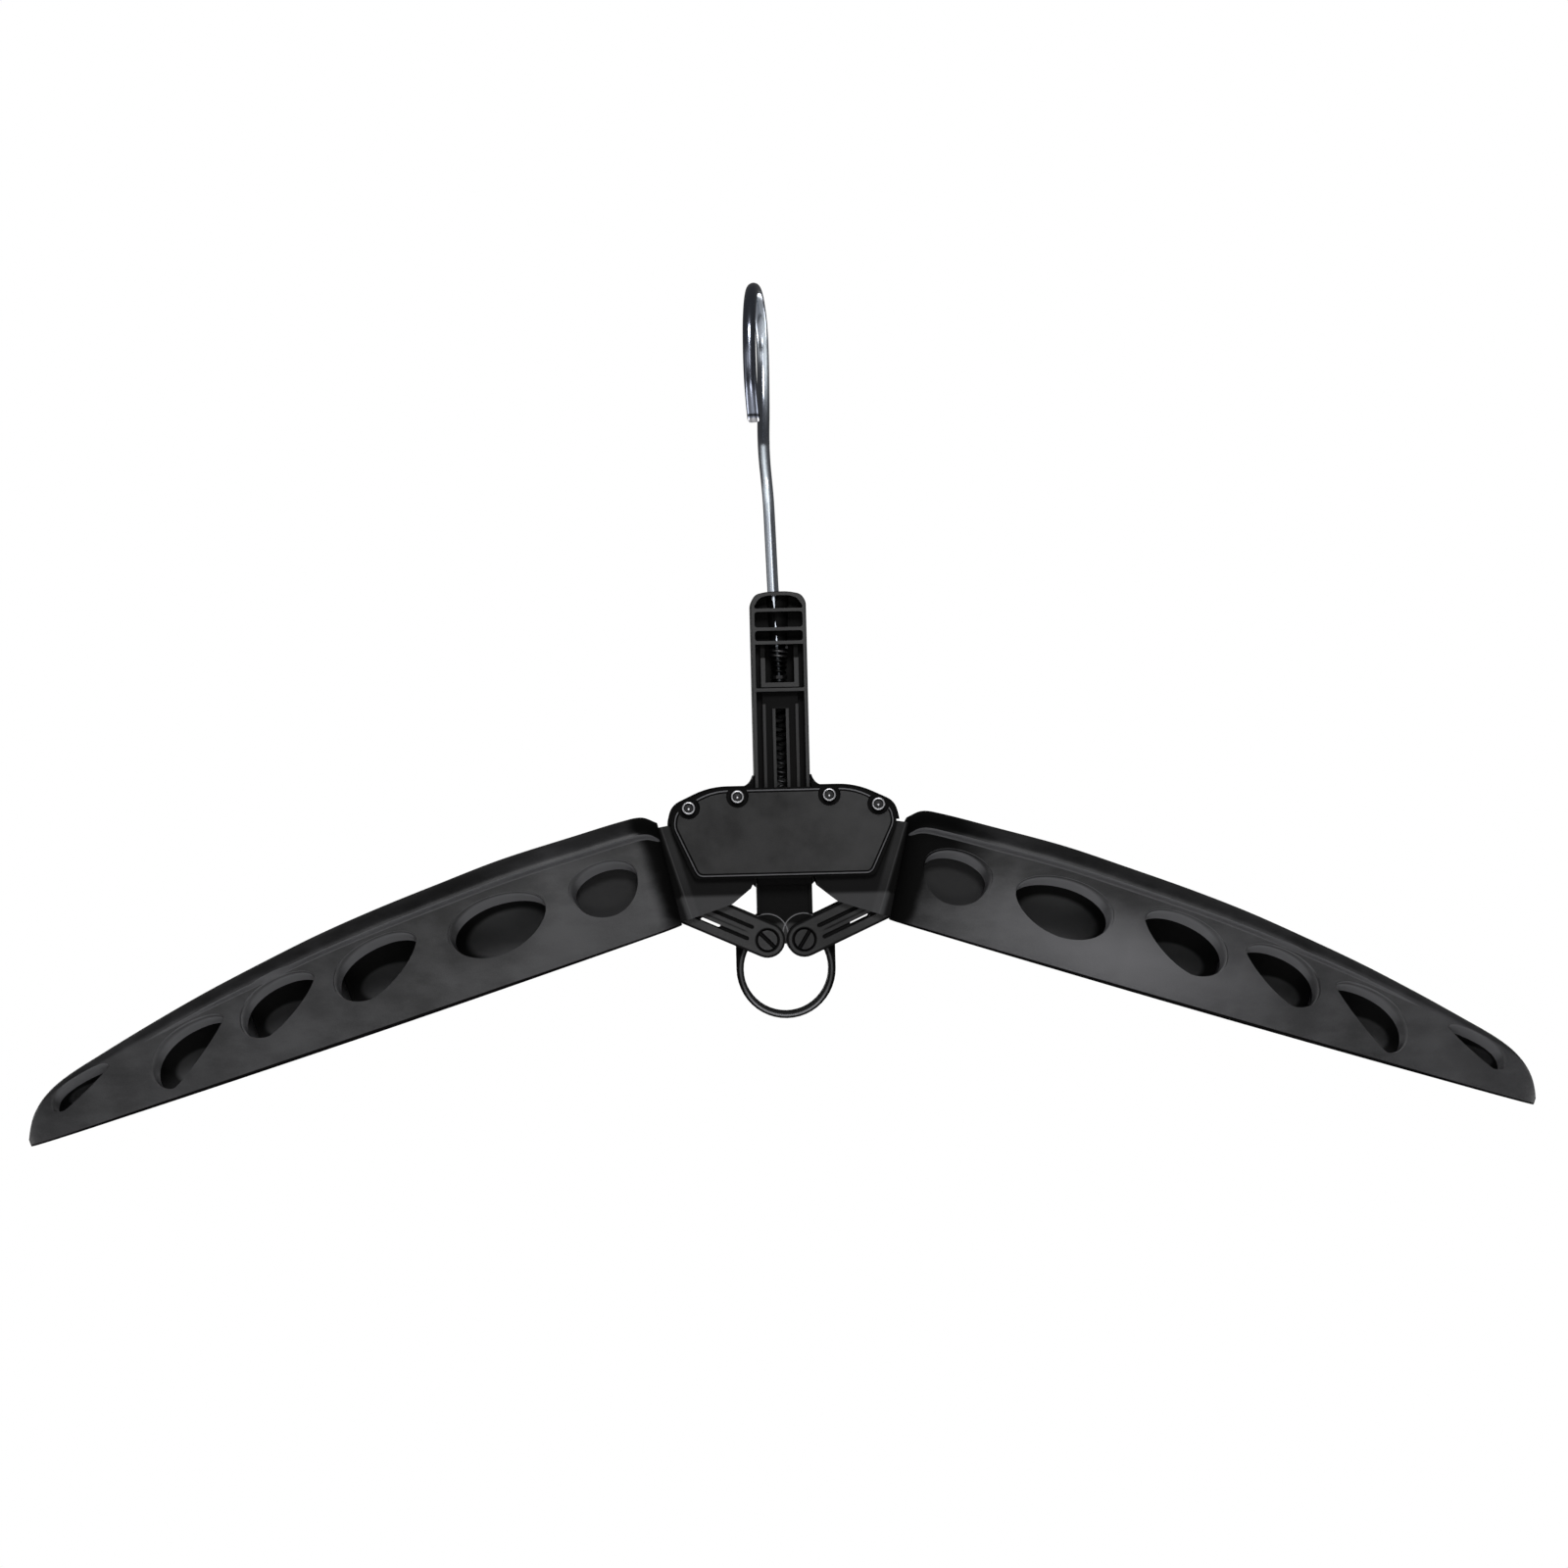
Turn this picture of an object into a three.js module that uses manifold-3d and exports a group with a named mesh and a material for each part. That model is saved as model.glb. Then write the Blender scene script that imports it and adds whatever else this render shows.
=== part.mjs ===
// Folding wetsuit hanger: a wire hook swivels in a ribbed stem, the stem slides in a small
// housing, and two wide hollow arms fold down when the ring under the stem is pulled.
//
// Millimetres, +Z up, the front of the hanger towards -Y, the arms along X. The origin lies
// where the hook's loop rests on its rail. The rod leans a little, so the stem hangs beside it.

import * as THREE from "three";
import { mergeVertices } from "three/addons/utils/BufferGeometryUtils.js";
import Module from "manifold-3d";

const wasm = await Module();
wasm.setup();

// Overall layout
const housingDrop = 185.5; // from the rail down to the housing's datum line
const runningGap = 0.4; // between plates that turn on each other
const seatGap = 0.3; // between pieces that are fastened together
const holeGap = 0.35; // around pins and screws, on the radius
const overrun = 6; // how far a cutter passes beyond what it cuts
const cornerShare = 0.45; // a rounded corner takes no more than this of either side

// Hook
const wireRadius = 1.9;
const loopRadius = 20.1; // to the middle of the wire
const hookTurn = 7; // degrees that the loop is swivelled off the stem's middle plane
const rodLean = 2.8; // degrees that the rod leans to the left in the stem's bore
const leanStart = 60; // height, above the housing's datum line, that it leans from
const rodNeckRadius = 1.2;
const rodHeadThickness = 0.8;
const wireSides = 10;
const hookSteps = 46;
const loopAcrossShares = [
  0, 0.03, 0.22, 0.56, 0.88, 1, 0.924, 0.707, 0.383, 0, -0.383, -0.707, -0.924, -1, -0.945, -0.72,
];
const loopRiseShares = [
  -2.6, -2.15, -1.83, -1.43, -0.82, -0.1, 0.383, 0.707, 0.924, 1, 0.924, 0.707, 0.383, 0, -0.65, -1.26,
];

// Stem: a ribbed slider with the finger ring below it
const stemHalfWidth = 9.2;
const stemHalfDepth = 7;
const stemTop = 86.5; // heights of the stem are above the housing's datum line
const stemShoulder = 3.4; // height over which the top rounds off
const stemCrown = 3.4; // half width of the flat middle of the top
const stemRim = 1.25;
const stemBottom = -10.5;
const webHalf = 1.2;
const ribThickness = 1.1;
const upperRibHeights = [80.4, 74.1, 69.6];
const pocketTop = 69.05; // square pocket of the hook spring
const pocketBottom = 56.4;
const pocketHalfWidth = 4.75;
const pocketWall = 1.5;
const pocketBack = 3.4;
const pocketCorner = 1.1;
const pocketLipDrop = 4.5; // the pocket's side walls reach the front only below this drop
const pocketLipDepth = 2.2;
const crossRibHeight = 54;
const channelTop = 47.8;
const channelBottom = -4;
const channelFloor = 3.9;
const innerRibCentre = 2.2;
const outerRibCentre = 5.4;
const outerRibRise = 1.5; // the outer pair of ribs starts this much higher
const channelRib = 1;
const channelRibInset = 0.9; // of the channel ribs below the stem's front
const springTunnelHalfWidth = 3.2;
const springTunnelHalfDepth = 3;
const bladeHalf = 3.4; // half thickness of the stem's lower end
const bladeWebHalf = 2.2;
const ringOuterRadius = 16.45;
const ringInnerRadius = 14.1;
const ringHalfDepth = 2.4;
const ringCentreHeight = -38.5;
const lugRadius = 7.2;
const lugRise = 1.5; // of the lugs' centres above the link pivots

// Link pivots on the stem and links
const linkPivotHalfSpan = 6.1;
const linkPivotHeight = -28.7;
const linkLength = 34;
const linkAngle = 24.3; // degrees above level, with the arms open
const linkHalfWidth = 5.85;
const linkThickness = 2.8;
const linkGrooveWidth = 1.3;
const linkGrooveDepth = 1;
const linkGrooveOffset = 2.05;
const linkGrooveStart = 6.4;
const linkGrooveEnd = 8;
const linkSlitStart = 16.5;
const linkSlitLength = 5.9;
const pivotScrewRadius = 1.7;
const pivotHeadRadius = 3.4;
const pivotHeadThickness = 1.7;
const pivotHeadRecess = 1.1;
const pivotSlotWidth = 0.9;
const pivotSlotDepth = 0.8;
const pivotSlotTurn = { left: -45, right: 58 }; // degrees of each slot as it was left
const nutFloor = 0.7;
const linkPinRadius = 1.5;

// Arm pivots and necks
const armPivotHalfSpan = 26;
const armPivotHeight = -4;
const axleRadius = 2;
const axleSeatDepth = 1.4;
const neckThickness = 2.4;
const neckLobeRadius = 16.5;
const neckTopAngle = 100; // degrees, where the lobe starts
const neckBottomAngle = 206.5; // degrees, where the lobe ends
const neckChinX = 17.5; // the lower edge bends here
const neckChinHeight = -16.4;
const neckReach = 35; // how far the neck plates run inside the arm
const neckHeightInside = 28;
const pinSlotHalfLength = 1.95; // half of the pin's path along the slot
const pinSlotHalfSway = 0.63; // half of the pin's path across the slot
const pinSlotTurn = 136; // degrees of the slot's long way, in the arm's own frame
const pinSeatDepth = 1.4; // of the pin's ends in the neck plates

// Arms
const armLength = 226.2;
const armHeight = 39.6;
const armHalfDepth = 20;
const armSlope = 17.5; // degrees below level, with the arms open
const armRootHalfSpan = 34.2;
const armRootHeight = -22.75;
const armWall = 2.6;
const armEndHalfDepth = 12.5;
const armEndRound = 9;
const armEndLean = 3.4; // the upper end reaches this much further in
const armLeanFade = 44;
const creaseInset = 2.4; // the flank lies this far inside the rolled top
const hemInset = 1.2; // the flank's lower edge lies this far inside
const hemBow = 0.65; // the lower edge sags by this much halfway along
const creaseFade = [0.62, 0.86]; // shares of the length over which the crease fades out
const rollHeightShare = 0.2;
const rollRoundShare = 0.72; // of the roll's height that is rounded over
const roofEdgeShare = 0.8; // the hollow's roof slopes from this share of its half width
const roofFlatShare = 0.4;
const roofDropShare = 0.25; // of the roll's height
const webThickness = 1.6;
const noseHalfDepth = 1.2;
const topLengthShares = [
  0, 0.018, 0.044, 0.11, 0.22, 0.32, 0.42, 0.51, 0.6, 0.69, 0.78, 0.86, 0.92, 0.955, 0.98, 1,
];
const topHeightShares = [
  0.866, 0.949, 0.973, 0.986, 1, 0.976, 0.944, 0.898, 0.828, 0.747, 0.646, 0.543, 0.457, 0.369, 0.247, 0.07,
];
const depthLengthShares = [0, 0.42, 0.66, 0.86];
const depthShares = [1, 0.98, 0.78, 0.55];
const stationShares = [
  0, 0.006, 0.018, 0.03, 0.044, 0.075, 0.13, 0.2, 0.28, 0.36, 0.44, 0.52, 0.6, 0.68, 0.75, 0.81, 0.86, 0.9,
  0.93, 0.955, 0.975, 0.99, 1,
];
const webShares = [0.1515, 0.339, 0.505, 0.65, 0.812];
const lastCellEndShare = 0.952;

// Leaf-shaped holes of an arm: the four outermost points as shares of its length and height,
// and the roundness of the quarter between the inner and the bottom point
const leafTilt = 1; // each hole drops by this much for each millimetre that it goes in
const leafShares = [
  { inner: [0.0384, 0.533], top: [0.086, 0.702], outer: [0.1311, 0.546], bottom: [0.0812, 0.2575], bow: 2 },
  { inner: [0.172, 0.5324], top: [0.244, 0.7268], outer: [0.3139, 0.508], bottom: [0.249, 0.25], bow: 1.8 },
  { inner: [0.3629, 0.61], top: [0.405, 0.7159], outer: [0.4911, 0.438], bottom: [0.4494, 0.2537], bow: 1.4 },
  { inner: [0.519, 0.5783], top: [0.556, 0.6616], outer: [0.6369, 0.3763], bottom: [0.606, 0.2298], bow: 1.25 },
  { inner: [0.6624, 0.4937], top: [0.691, 0.5442], outer: [0.7822, 0.2285], bottom: [0.7618, 0.0998], bow: 1.15 },
  { inner: [0.8416, 0.4417], top: [0.857, 0.471], outer: [0.938, 0.2492], bottom: [0.924, 0.215], bow: 1.1 },
];
const leafSteps = 6; // points in each quarter
const leafCutDepth = 4.4; // from the flank inwards
const leafShift = { left: 1.6, right: -1.6 }; // outwards: the arms' holes aren't quite mirror images

// Housing
const housingWall = 2;
const panelRise = 2;
const panelBevel = 1;
const housingTop = 22.5;
const housingShoulderX = 24;
const housingCornerX = 37;
const housingCornerHeight = 16.4;
const housingSideX = 38.6;
const housingSideHeight = 9.6;
const housingFootX = 30.9;
const housingFoot = -8.7;
const flangeInset = 1.2; // of the cover's flange inside the rear shell's outline
const panelInset = 2.3; // of the raised panel inside the rear shell's outline
const shoulderInsetShare = 0.6; // of an inset, by which the corners of the outline move
const cornerAcrossShare = 0.7;
const cornerDownShare = 0.9;
const footInsetShare = 0.7;
const wallFootHeight = 10.4; // the side walls end here, above the necks
const collarRise = 3.4;
const collarHalfWidth = 13.4;
const guidePadHalfWidth = 8.6;
const skirtHalfWidth = 12.5; // a short skirt of the rear shell beside the stem
const skirtFoot = -11.6;
const pegHalfWidth = 1.3;
const pegHeight = 4;
const pegBottom = 0;
const coverScrewPlaces = [
  { x: -31.2, height: 15.6 },
  { x: -15.1, height: 19 },
  { x: 15.1, height: 19 },
  { x: 31.2, height: 15.6 },
];
const coverScrewRadius = 1;
const coverScrewHeadRadius = 2.2;
const coverScrewHeadHeight = 1.7;
const coverScrewSocketRadius = 1.25;
const coverScrewSocketDepth = 0.9;
const screwShoulderShare = 0.84; // of the head's radius, where its round edge ends
const screwShoulderDropShare = 0.12; // of the head's height
const socketRimShare = 1.15; // of the socket's radius
const socketRimDropShare = 0.06; // of the head's height
const coverScrewLength = 9;
const coverNotchRadius = 3.7;
const screwBossRadius = 2.9;

// Travel of the ring, and the springs
const ringTravel = 22.25;
const mainSpringWire = 0.45; // radius of the wire
const mainSpringRadius = 2.2; // to the middle of the wire
const mainSpringCurls = 14;
const hookSpringWire = 0.45;
const hookSpringTopRadius = 2.75;
const hookSpringBottomRadius = 2;
const hookSpringCurls = 5;
const collarRadius = 2.7;
const collarThickness = 1;

// Distances in depth from the middle plane, each from the one before it
const linkInner = bladeHalf + runningGap;
const linkOuter = linkInner + linkThickness;
const neckInner = linkOuter + runningGap;
const neckOuter = neckInner + neckThickness;
const housingInner = neckOuter + runningGap;
const housingOuter = housingInner + housingWall;

const black = new THREE.MeshStandardMaterial({ color: 0x1b1b1c, roughness: 0.48, metalness: 0 });
const steel = new THREE.MeshStandardMaterial({ color: 0x9aa0a8, roughness: 0.25, metalness: 1 });
const darkSteel = new THREE.MeshStandardMaterial({ color: 0x55585c, roughness: 0.35, metalness: 1 });

const radians = (degrees) => THREE.MathUtils.degToRad(degrees);

// A closed mesh with shared vertices, turned so that its faces point outwards.
function closed(geometry) {
  geometry.deleteAttribute("normal");
  geometry.deleteAttribute("uv");
  const merged = mergeVertices(geometry);
  const place = merged.getAttribute("position");
  const corners = merged.getIndex().array;
  const a = new THREE.Vector3();
  const b = new THREE.Vector3();
  const c = new THREE.Vector3();
  let volume = 0;
  for (let i = 0; i < corners.length; i += 3) {
    a.fromBufferAttribute(place, corners[i]);
    b.fromBufferAttribute(place, corners[i + 1]);
    c.fromBufferAttribute(place, corners[i + 2]);
    volume += a.dot(b.cross(c));
  }
  if (volume < 0) {
    for (let i = 0; i < corners.length; i += 3) {
      [corners[i + 1], corners[i + 2]] = [corners[i + 2], corners[i + 1]];
    }
  }
  return merged;
}

function solidOf(geometry) {
  const mesh = closed(geometry);
  return new wasm.Manifold(
    new wasm.Mesh({
      numProp: 3,
      vertProperties: new Float32Array(mesh.getAttribute("position").array),
      triVerts: new Uint32Array(mesh.getIndex().array),
    })
  );
}

function geometryOf(solid) {
  const mesh = solid.getMesh();
  const geometry = new THREE.BufferGeometry();
  geometry.setAttribute("position", new THREE.BufferAttribute(new Float32Array(mesh.vertProperties), 3));
  geometry.setIndex(new THREE.BufferAttribute(new Uint32Array(mesh.triVerts), 1));
  return geometry;
}

// Solids in the frame whose height is measured from the housing's datum line
function box(x0, x1, y0, y1, z0, z1) {
  const geometry = new THREE.BoxGeometry(x1 - x0, y1 - y0, z1 - z0);
  geometry.translate((x0 + x1) / 2, (y0 + y1) / 2, (z0 + z1) / 2);
  return solidOf(geometry);
}

function rodAlongY(x, z, radius, y0, y1, sides = 24) {
  const geometry = new THREE.CylinderGeometry(radius, radius, y1 - y0, sides);
  geometry.translate(x, (y0 + y1) / 2, z);
  return solidOf(geometry);
}

function coneAlongZ(lowRadius, highRadius, z0, z1, sides = 16) {
  const geometry = new THREE.CylinderGeometry(highRadius, lowRadius, z1 - z0, sides);
  geometry.rotateX(Math.PI / 2);
  geometry.translate(0, 0, (z0 + z1) / 2);
  return solidOf(geometry);
}

// An outline in x and height, extruded in depth from y0 to y1
function slab(shape, y0, y1, bevel = 0) {
  const geometry = new THREE.ExtrudeGeometry(shape, {
    depth: y1 - y0 - 2 * bevel,
    bevelEnabled: bevel > 0,
    bevelThickness: bevel,
    bevelSize: bevel,
    bevelOffset: -bevel,
    bevelSegments: 1,
    curveSegments: 6,
  });
  geometry.rotateX(Math.PI / 2);
  geometry.translate(0, y1 - bevel, 0);
  return solidOf(geometry);
}

// A closed outline with a rounded corner at each [x, height, radius]
function roundedShape(corners) {
  const shape = new THREE.Shape();
  corners.forEach(([x, z, radius], i) => {
    const corner = new THREE.Vector2(x, z);
    const [px, pz] = corners[(i + corners.length - 1) % corners.length];
    const [nx, nz] = corners[(i + 1) % corners.length];
    const last = new THREE.Vector2(px, pz).sub(corner);
    const next = new THREE.Vector2(nx, nz).sub(corner);
    const reach = Math.min(radius, last.length() * cornerShare, next.length() * cornerShare);
    const before = last.setLength(reach).add(corner);
    const after = next.setLength(reach).add(corner);
    if (i === 0) {
      shape.moveTo(before.x, before.y);
    } else {
      shape.lineTo(before.x, before.y);
    }
    if (radius > 0) {
      shape.quadraticCurveTo(x, z, after.x, after.y);
    }
  });
  shape.closePath();
  return shape;
}

// The right half of an outline and its mirror image as one closed list of corners
function bothHalves(rightHalf) {
  const leftHalf = rightHalf.map(([x, z, radius]) => [-x, z, radius]).reverse();
  return rightHalf.concat(leftHalf);
}

// A skin over rings of equal point counts, closed by a fan over each end ring
function loftedGeometry(rings) {
  const count = rings[0].length;
  const places = rings.flat().flatMap((point) => [point.x, point.y, point.z]);
  const faces = [];
  for (let ring = 0; ring + 1 < rings.length; ring++) {
    for (let i = 0; i < count; i++) {
      const a = ring * count + i;
      const b = ring * count + ((i + 1) % count);
      faces.push(a, b, a + count, b, b + count, a + count);
    }
  }
  const last = (rings.length - 1) * count;
  const centres = [rings[0], rings[rings.length - 1]].map((ring) => {
    const centre = new THREE.Vector3();
    ring.forEach((point) => centre.add(point));
    return centre.divideScalar(count);
  });
  centres.forEach((centre) => places.push(centre.x, centre.y, centre.z));
  const startCentre = rings.length * count;
  for (let i = 0; i < count; i++) {
    const next = (i + 1) % count;
    faces.push(startCentre, next, i);
    faces.push(startCentre + 1, last + i, last + next);
  }
  const geometry = new THREE.BufferGeometry();
  geometry.setAttribute("position", new THREE.Float32BufferAttribute(places, 3));
  geometry.setIndex(faces);
  return geometry;
}

function mirrored(geometry) {
  const copy = geometry.clone();
  copy.scale(-1, 1, 1);
  return closed(copy);
}

// A round wire along a list of { place, radius }, its rings carried on without twist
function wireGeometry(stations, sides) {
  const side = new THREE.Vector3(1, 0, 0);
  const tangent = new THREE.Vector3();
  const rings = stations.map(({ place, radius }, i) => {
    const before = stations[Math.max(i - 1, 0)].place;
    const after = stations[Math.min(i + 1, stations.length - 1)].place;
    tangent.subVectors(after, before).normalize();
    side.addScaledVector(tangent, -side.dot(tangent)).normalize();
    const across = new THREE.Vector3().crossVectors(tangent, side);
    return Array.from({ length: sides }, (_, k) => {
      const turn = (2 * Math.PI * k) / sides;
      return place
        .clone()
        .addScaledVector(side, radius * Math.cos(turn))
        .addScaledVector(across, radius * Math.sin(turn));
    });
  });
  return closed(loftedGeometry(rings));
}

// A helical spring about the Z axis, as one unbroken tube: 8 steps of 5 sides for each curl
function springGeometry({ name, top, bottom, topRadius, bottomRadius, wire, curls }) {
  const stepsPerCurl = 8;
  const sides = 5;
  const steps = curls * stepsPerCurl;
  const high = top - wire;
  const low = bottom + wire;
  const centreAt = (share) => {
    const turn = 2 * Math.PI * curls * share;
    const radius = topRadius + (bottomRadius - topRadius) * share;
    return new THREE.Vector3(radius * Math.cos(turn), radius * Math.sin(turn), high + (low - high) * share);
  };
  const centres = Array.from({ length: steps + 1 }, (_, i) => centreAt(i / steps));
  const rings = centres.map((centre, i) => {
    const tangent = new THREE.Vector3()
      .subVectors(centres[Math.min(i + 1, steps)], centres[Math.max(i - 1, 0)])
      .normalize();
    const outward = new THREE.Vector3(centre.x, centre.y, 0).normalize();
    outward.addScaledVector(tangent, -outward.dot(tangent)).normalize();
    const across = new THREE.Vector3().crossVectors(tangent, outward);
    return Array.from({ length: sides }, (_, k) => {
      const turn = (2 * Math.PI * k) / sides;
      return centre
        .clone()
        .addScaledVector(outward, wire * Math.cos(turn))
        .addScaledVector(across, wire * Math.sin(turn));
    });
  });
  let least = Infinity;
  for (let i = 0; i < centres.length; i++) {
    for (let j = i + stepsPerCurl / 2; j < centres.length; j++) {
      least = Math.min(least, centres[i].distanceTo(centres[j]) - 2 * wire);
    }
  }
  console.log(`${name}: least gap between its curls ${least.toFixed(2)} mm`);
  return closed(loftedGeometry(rings));
}

// A smooth curve through a table, read at one place
function smoothTable(places, values, at) {
  let i = 0;
  while (i < places.length - 2 && at > places[i + 1]) {
    i++;
  }
  const slope = (k) => {
    const lower = Math.max(k - 1, 0);
    const upper = Math.min(k + 1, places.length - 1);
    return (values[upper] - values[lower]) / (places[upper] - places[lower]);
  };
  const span = places[i + 1] - places[i];
  const t = THREE.MathUtils.clamp((at - places[i]) / span, 0, 1);
  const rise = t * t * (3 - 2 * t);
  const start = t * (1 - t) * (1 - t) * span * slope(i);
  const end = t * t * (t - 1) * span * slope(i + 1);
  return values[i] + (values[i + 1] - values[i]) * rise + start + end;
}

// Hook: head and neck inside the stem, then the straight rod and the pear-shaped loop
function hookGeometry() {
  const floor = pocketBottom + seatGap;
  const turn = radians(hookTurn);
  const stations = [];
  const add = (across, z, radius) => {
    const lean = (z - leanStart) * Math.tan(radians(rodLean));
    const place = new THREE.Vector3(across * Math.sin(turn) - lean, across * Math.cos(turn), z);
    stations.push({ place, radius });
  };
  const shoulder = pocketTop + seatGap;
  add(0, floor, wireRadius);
  add(0, floor + rodHeadThickness, wireRadius);
  add(0, floor + rodHeadThickness, rodNeckRadius);
  add(0, shoulder, rodNeckRadius);
  add(0, shoulder, wireRadius);
  const loopCentre = housingDrop + wireRadius - loopRadius;
  const route = loopAcrossShares.map(
    (share, i) => new THREE.Vector3(share * loopRadius, loopCentre + loopRiseShares[i] * loopRadius, 0)
  );
  const curve = new THREE.CatmullRomCurve3(route, false, "centripetal");
  curve.getSpacedPoints(hookSteps).forEach((point) => add(point.x, point.y, wireRadius));
  return wireGeometry(stations, wireSides);
}

function hookCollarGeometry() {
  const bottom = pocketBottom + seatGap + rodHeadThickness + seatGap;
  const inner = rodNeckRadius + holeGap;
  const profile = [
    new THREE.Vector2(inner, bottom),
    new THREE.Vector2(collarRadius, bottom),
    new THREE.Vector2(collarRadius, bottom + collarThickness),
    new THREE.Vector2(inner, bottom + collarThickness),
    new THREE.Vector2(inner, bottom),
  ];
  const geometry = new THREE.LatheGeometry(profile, 16);
  geometry.rotateX(Math.PI / 2);
  return closed(geometry);
}

function hookSpringGeometry() {
  const collarTop = pocketBottom + seatGap + rodHeadThickness + seatGap + collarThickness;
  return springGeometry({
    name: "hook_spring",
    top: pocketTop - seatGap,
    bottom: collarTop + seatGap,
    topRadius: hookSpringTopRadius,
    bottomRadius: hookSpringBottomRadius,
    wire: hookSpringWire,
    curls: hookSpringCurls,
  });
}

function mainSpringGeometry() {
  return springGeometry({
    name: "main_spring",
    top: channelTop - seatGap,
    bottom: pegBottom + pegHeight + seatGap,
    topRadius: mainSpringRadius,
    bottomRadius: mainSpringRadius,
    wire: mainSpringWire,
    curls: mainSpringCurls,
  });
}

// Stem: slider body with pockets front and rear, spring tunnel, lugs and finger ring
function stemBody() {
  const shape = roundedShape(
    bothHalves([
      [stemCrown, stemTop, stemShoulder / 2],
      [stemHalfWidth - stemShoulder / 2, stemTop - stemShoulder / 4, stemShoulder / 2],
      [stemHalfWidth, stemTop - stemShoulder, stemShoulder / 2],
      [stemHalfWidth, stemBottom, 0],
    ])
  );
  return slab(shape, -stemHalfDepth, stemHalfDepth, webHalf / 4);
}

// The topmost pocket follows the rounded top of the stem
function topPocketShape() {
  const inside = stemHalfWidth - stemRim;
  const roof = stemTop - stemRim;
  return roundedShape(
    bothHalves([
      [stemCrown, roof, stemShoulder / 2],
      [inside - stemShoulder / 2, roof - stemShoulder / 4, stemShoulder / 2],
      [inside, roof - stemShoulder, pocketCorner],
      [inside, upperRibHeights[0] + ribThickness / 2, pocketCorner],
    ])
  );
}

function stemPockets(body) {
  const inside = stemHalfWidth - stemRim;
  const half = ribThickness / 2;
  const [firstRib, secondRib, thirdRib] = upperRibHeights;
  const rows = [
    [secondRib + half, firstRib - half],
    [thirdRib + half, secondRib - half],
  ];
  const innerRibEdge = innerRibCentre - channelRib / 2;
  const outerRibEdge = outerRibCentre + channelRib / 2;
  const ribTop = stemHalfDepth - channelRibInset;
  const crossTop = crossRibHeight + half;
  const crossFoot = crossRibHeight - half;
  const pocketOuter = pocketHalfWidth + pocketWall;
  let result = body;
  const cut = (x0, x1, depth, z0, z1) => {
    for (const face of [-1, 1]) {
      const y0 = face < 0 ? -stemHalfDepth - overrun : depth;
      const y1 = face < 0 ? -depth : stemHalfDepth + overrun;
      result = result.subtract(box(x0, x1, y0, y1, z0, z1));
    }
  };
  const cutShape = (shape, depth) => {
    result = result.subtract(slab(shape, -stemHalfDepth - overrun, -depth));
    result = result.subtract(slab(shape, depth, stemHalfDepth + overrun));
  };
  cutShape(topPocketShape(), webHalf);
  for (const [z0, z1] of rows) {
    cutShape(roundedShape(bothHalves([[inside, z1, pocketCorner], [inside, z0, pocketCorner]])), webHalf);
  }
  const lipFoot = pocketTop - pocketLipDrop;
  cut(-pocketOuter, pocketOuter, stemHalfDepth - pocketLipDepth, lipFoot, thirdRib - half);
  for (const side of [-1, 1]) {
    const edges = [side * pocketOuter, side * inside].sort((a, b) => a - b);
    cut(edges[0], edges[1], webHalf, crossTop, thirdRib - half);
    const outer = [side * outerRibEdge, side * inside].sort((a, b) => a - b);
    cut(outer[0], outer[1], webHalf, channelBottom, crossFoot);
    const ribSides = [innerRibEdge + channelRib, outerRibEdge - channelRib].map((x) => side * x);
    const [near, far] = ribSides.sort((a, b) => a - b);
    cut(near, far, channelFloor, channelBottom, channelTop + outerRibRise);
  }
  cut(-outerRibEdge, outerRibEdge, ribTop, channelBottom, crossFoot);
  cut(-outerRibEdge, outerRibEdge, channelFloor, channelTop + outerRibRise, crossFoot);
  cut(-innerRibEdge - channelRib, innerRibEdge + channelRib, channelFloor, channelTop, crossFoot);
  const strip = crossTop + ribThickness;
  cut(-pocketOuter, pocketOuter, webHalf + pocketBack, crossTop, Math.min(strip, pocketBottom - pocketWall));
  return result;
}

function stemOpenings(body) {
  const innerRibEdge = innerRibCentre - channelRib / 2;
  const slotHalf = pegHalfWidth + runningGap;
  const back = stemHalfDepth + overrun;
  let result = body;
  const boreAt = (z) => wireRadius + holeGap + (z - leanStart) * Math.tan(radians(rodLean));
  const boreTop = stemTop + overrun;
  result = result.subtract(coneAlongZ(boreAt(leanStart), boreAt(boreTop), leanStart, boreTop));
  result = result.subtract(
    box(-pocketHalfWidth, pocketHalfWidth, -back, pocketBack, pocketBottom, pocketTop)
  );
  result = result.subtract(
    box(
      -springTunnelHalfWidth,
      springTunnelHalfWidth,
      -springTunnelHalfDepth,
      springTunnelHalfDepth,
      pegBottom - seatGap,
      channelTop
    )
  );
  result = result.subtract(box(-innerRibEdge, innerRibEdge, -back, 0, pegBottom - seatGap, channelTop));
  const slotTop = pegBottom + pegHeight + ringTravel + runningGap;
  result = result.subtract(box(-slotHalf, slotHalf, 0, back, pegBottom - seatGap, slotTop));
  return result;
}

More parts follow.
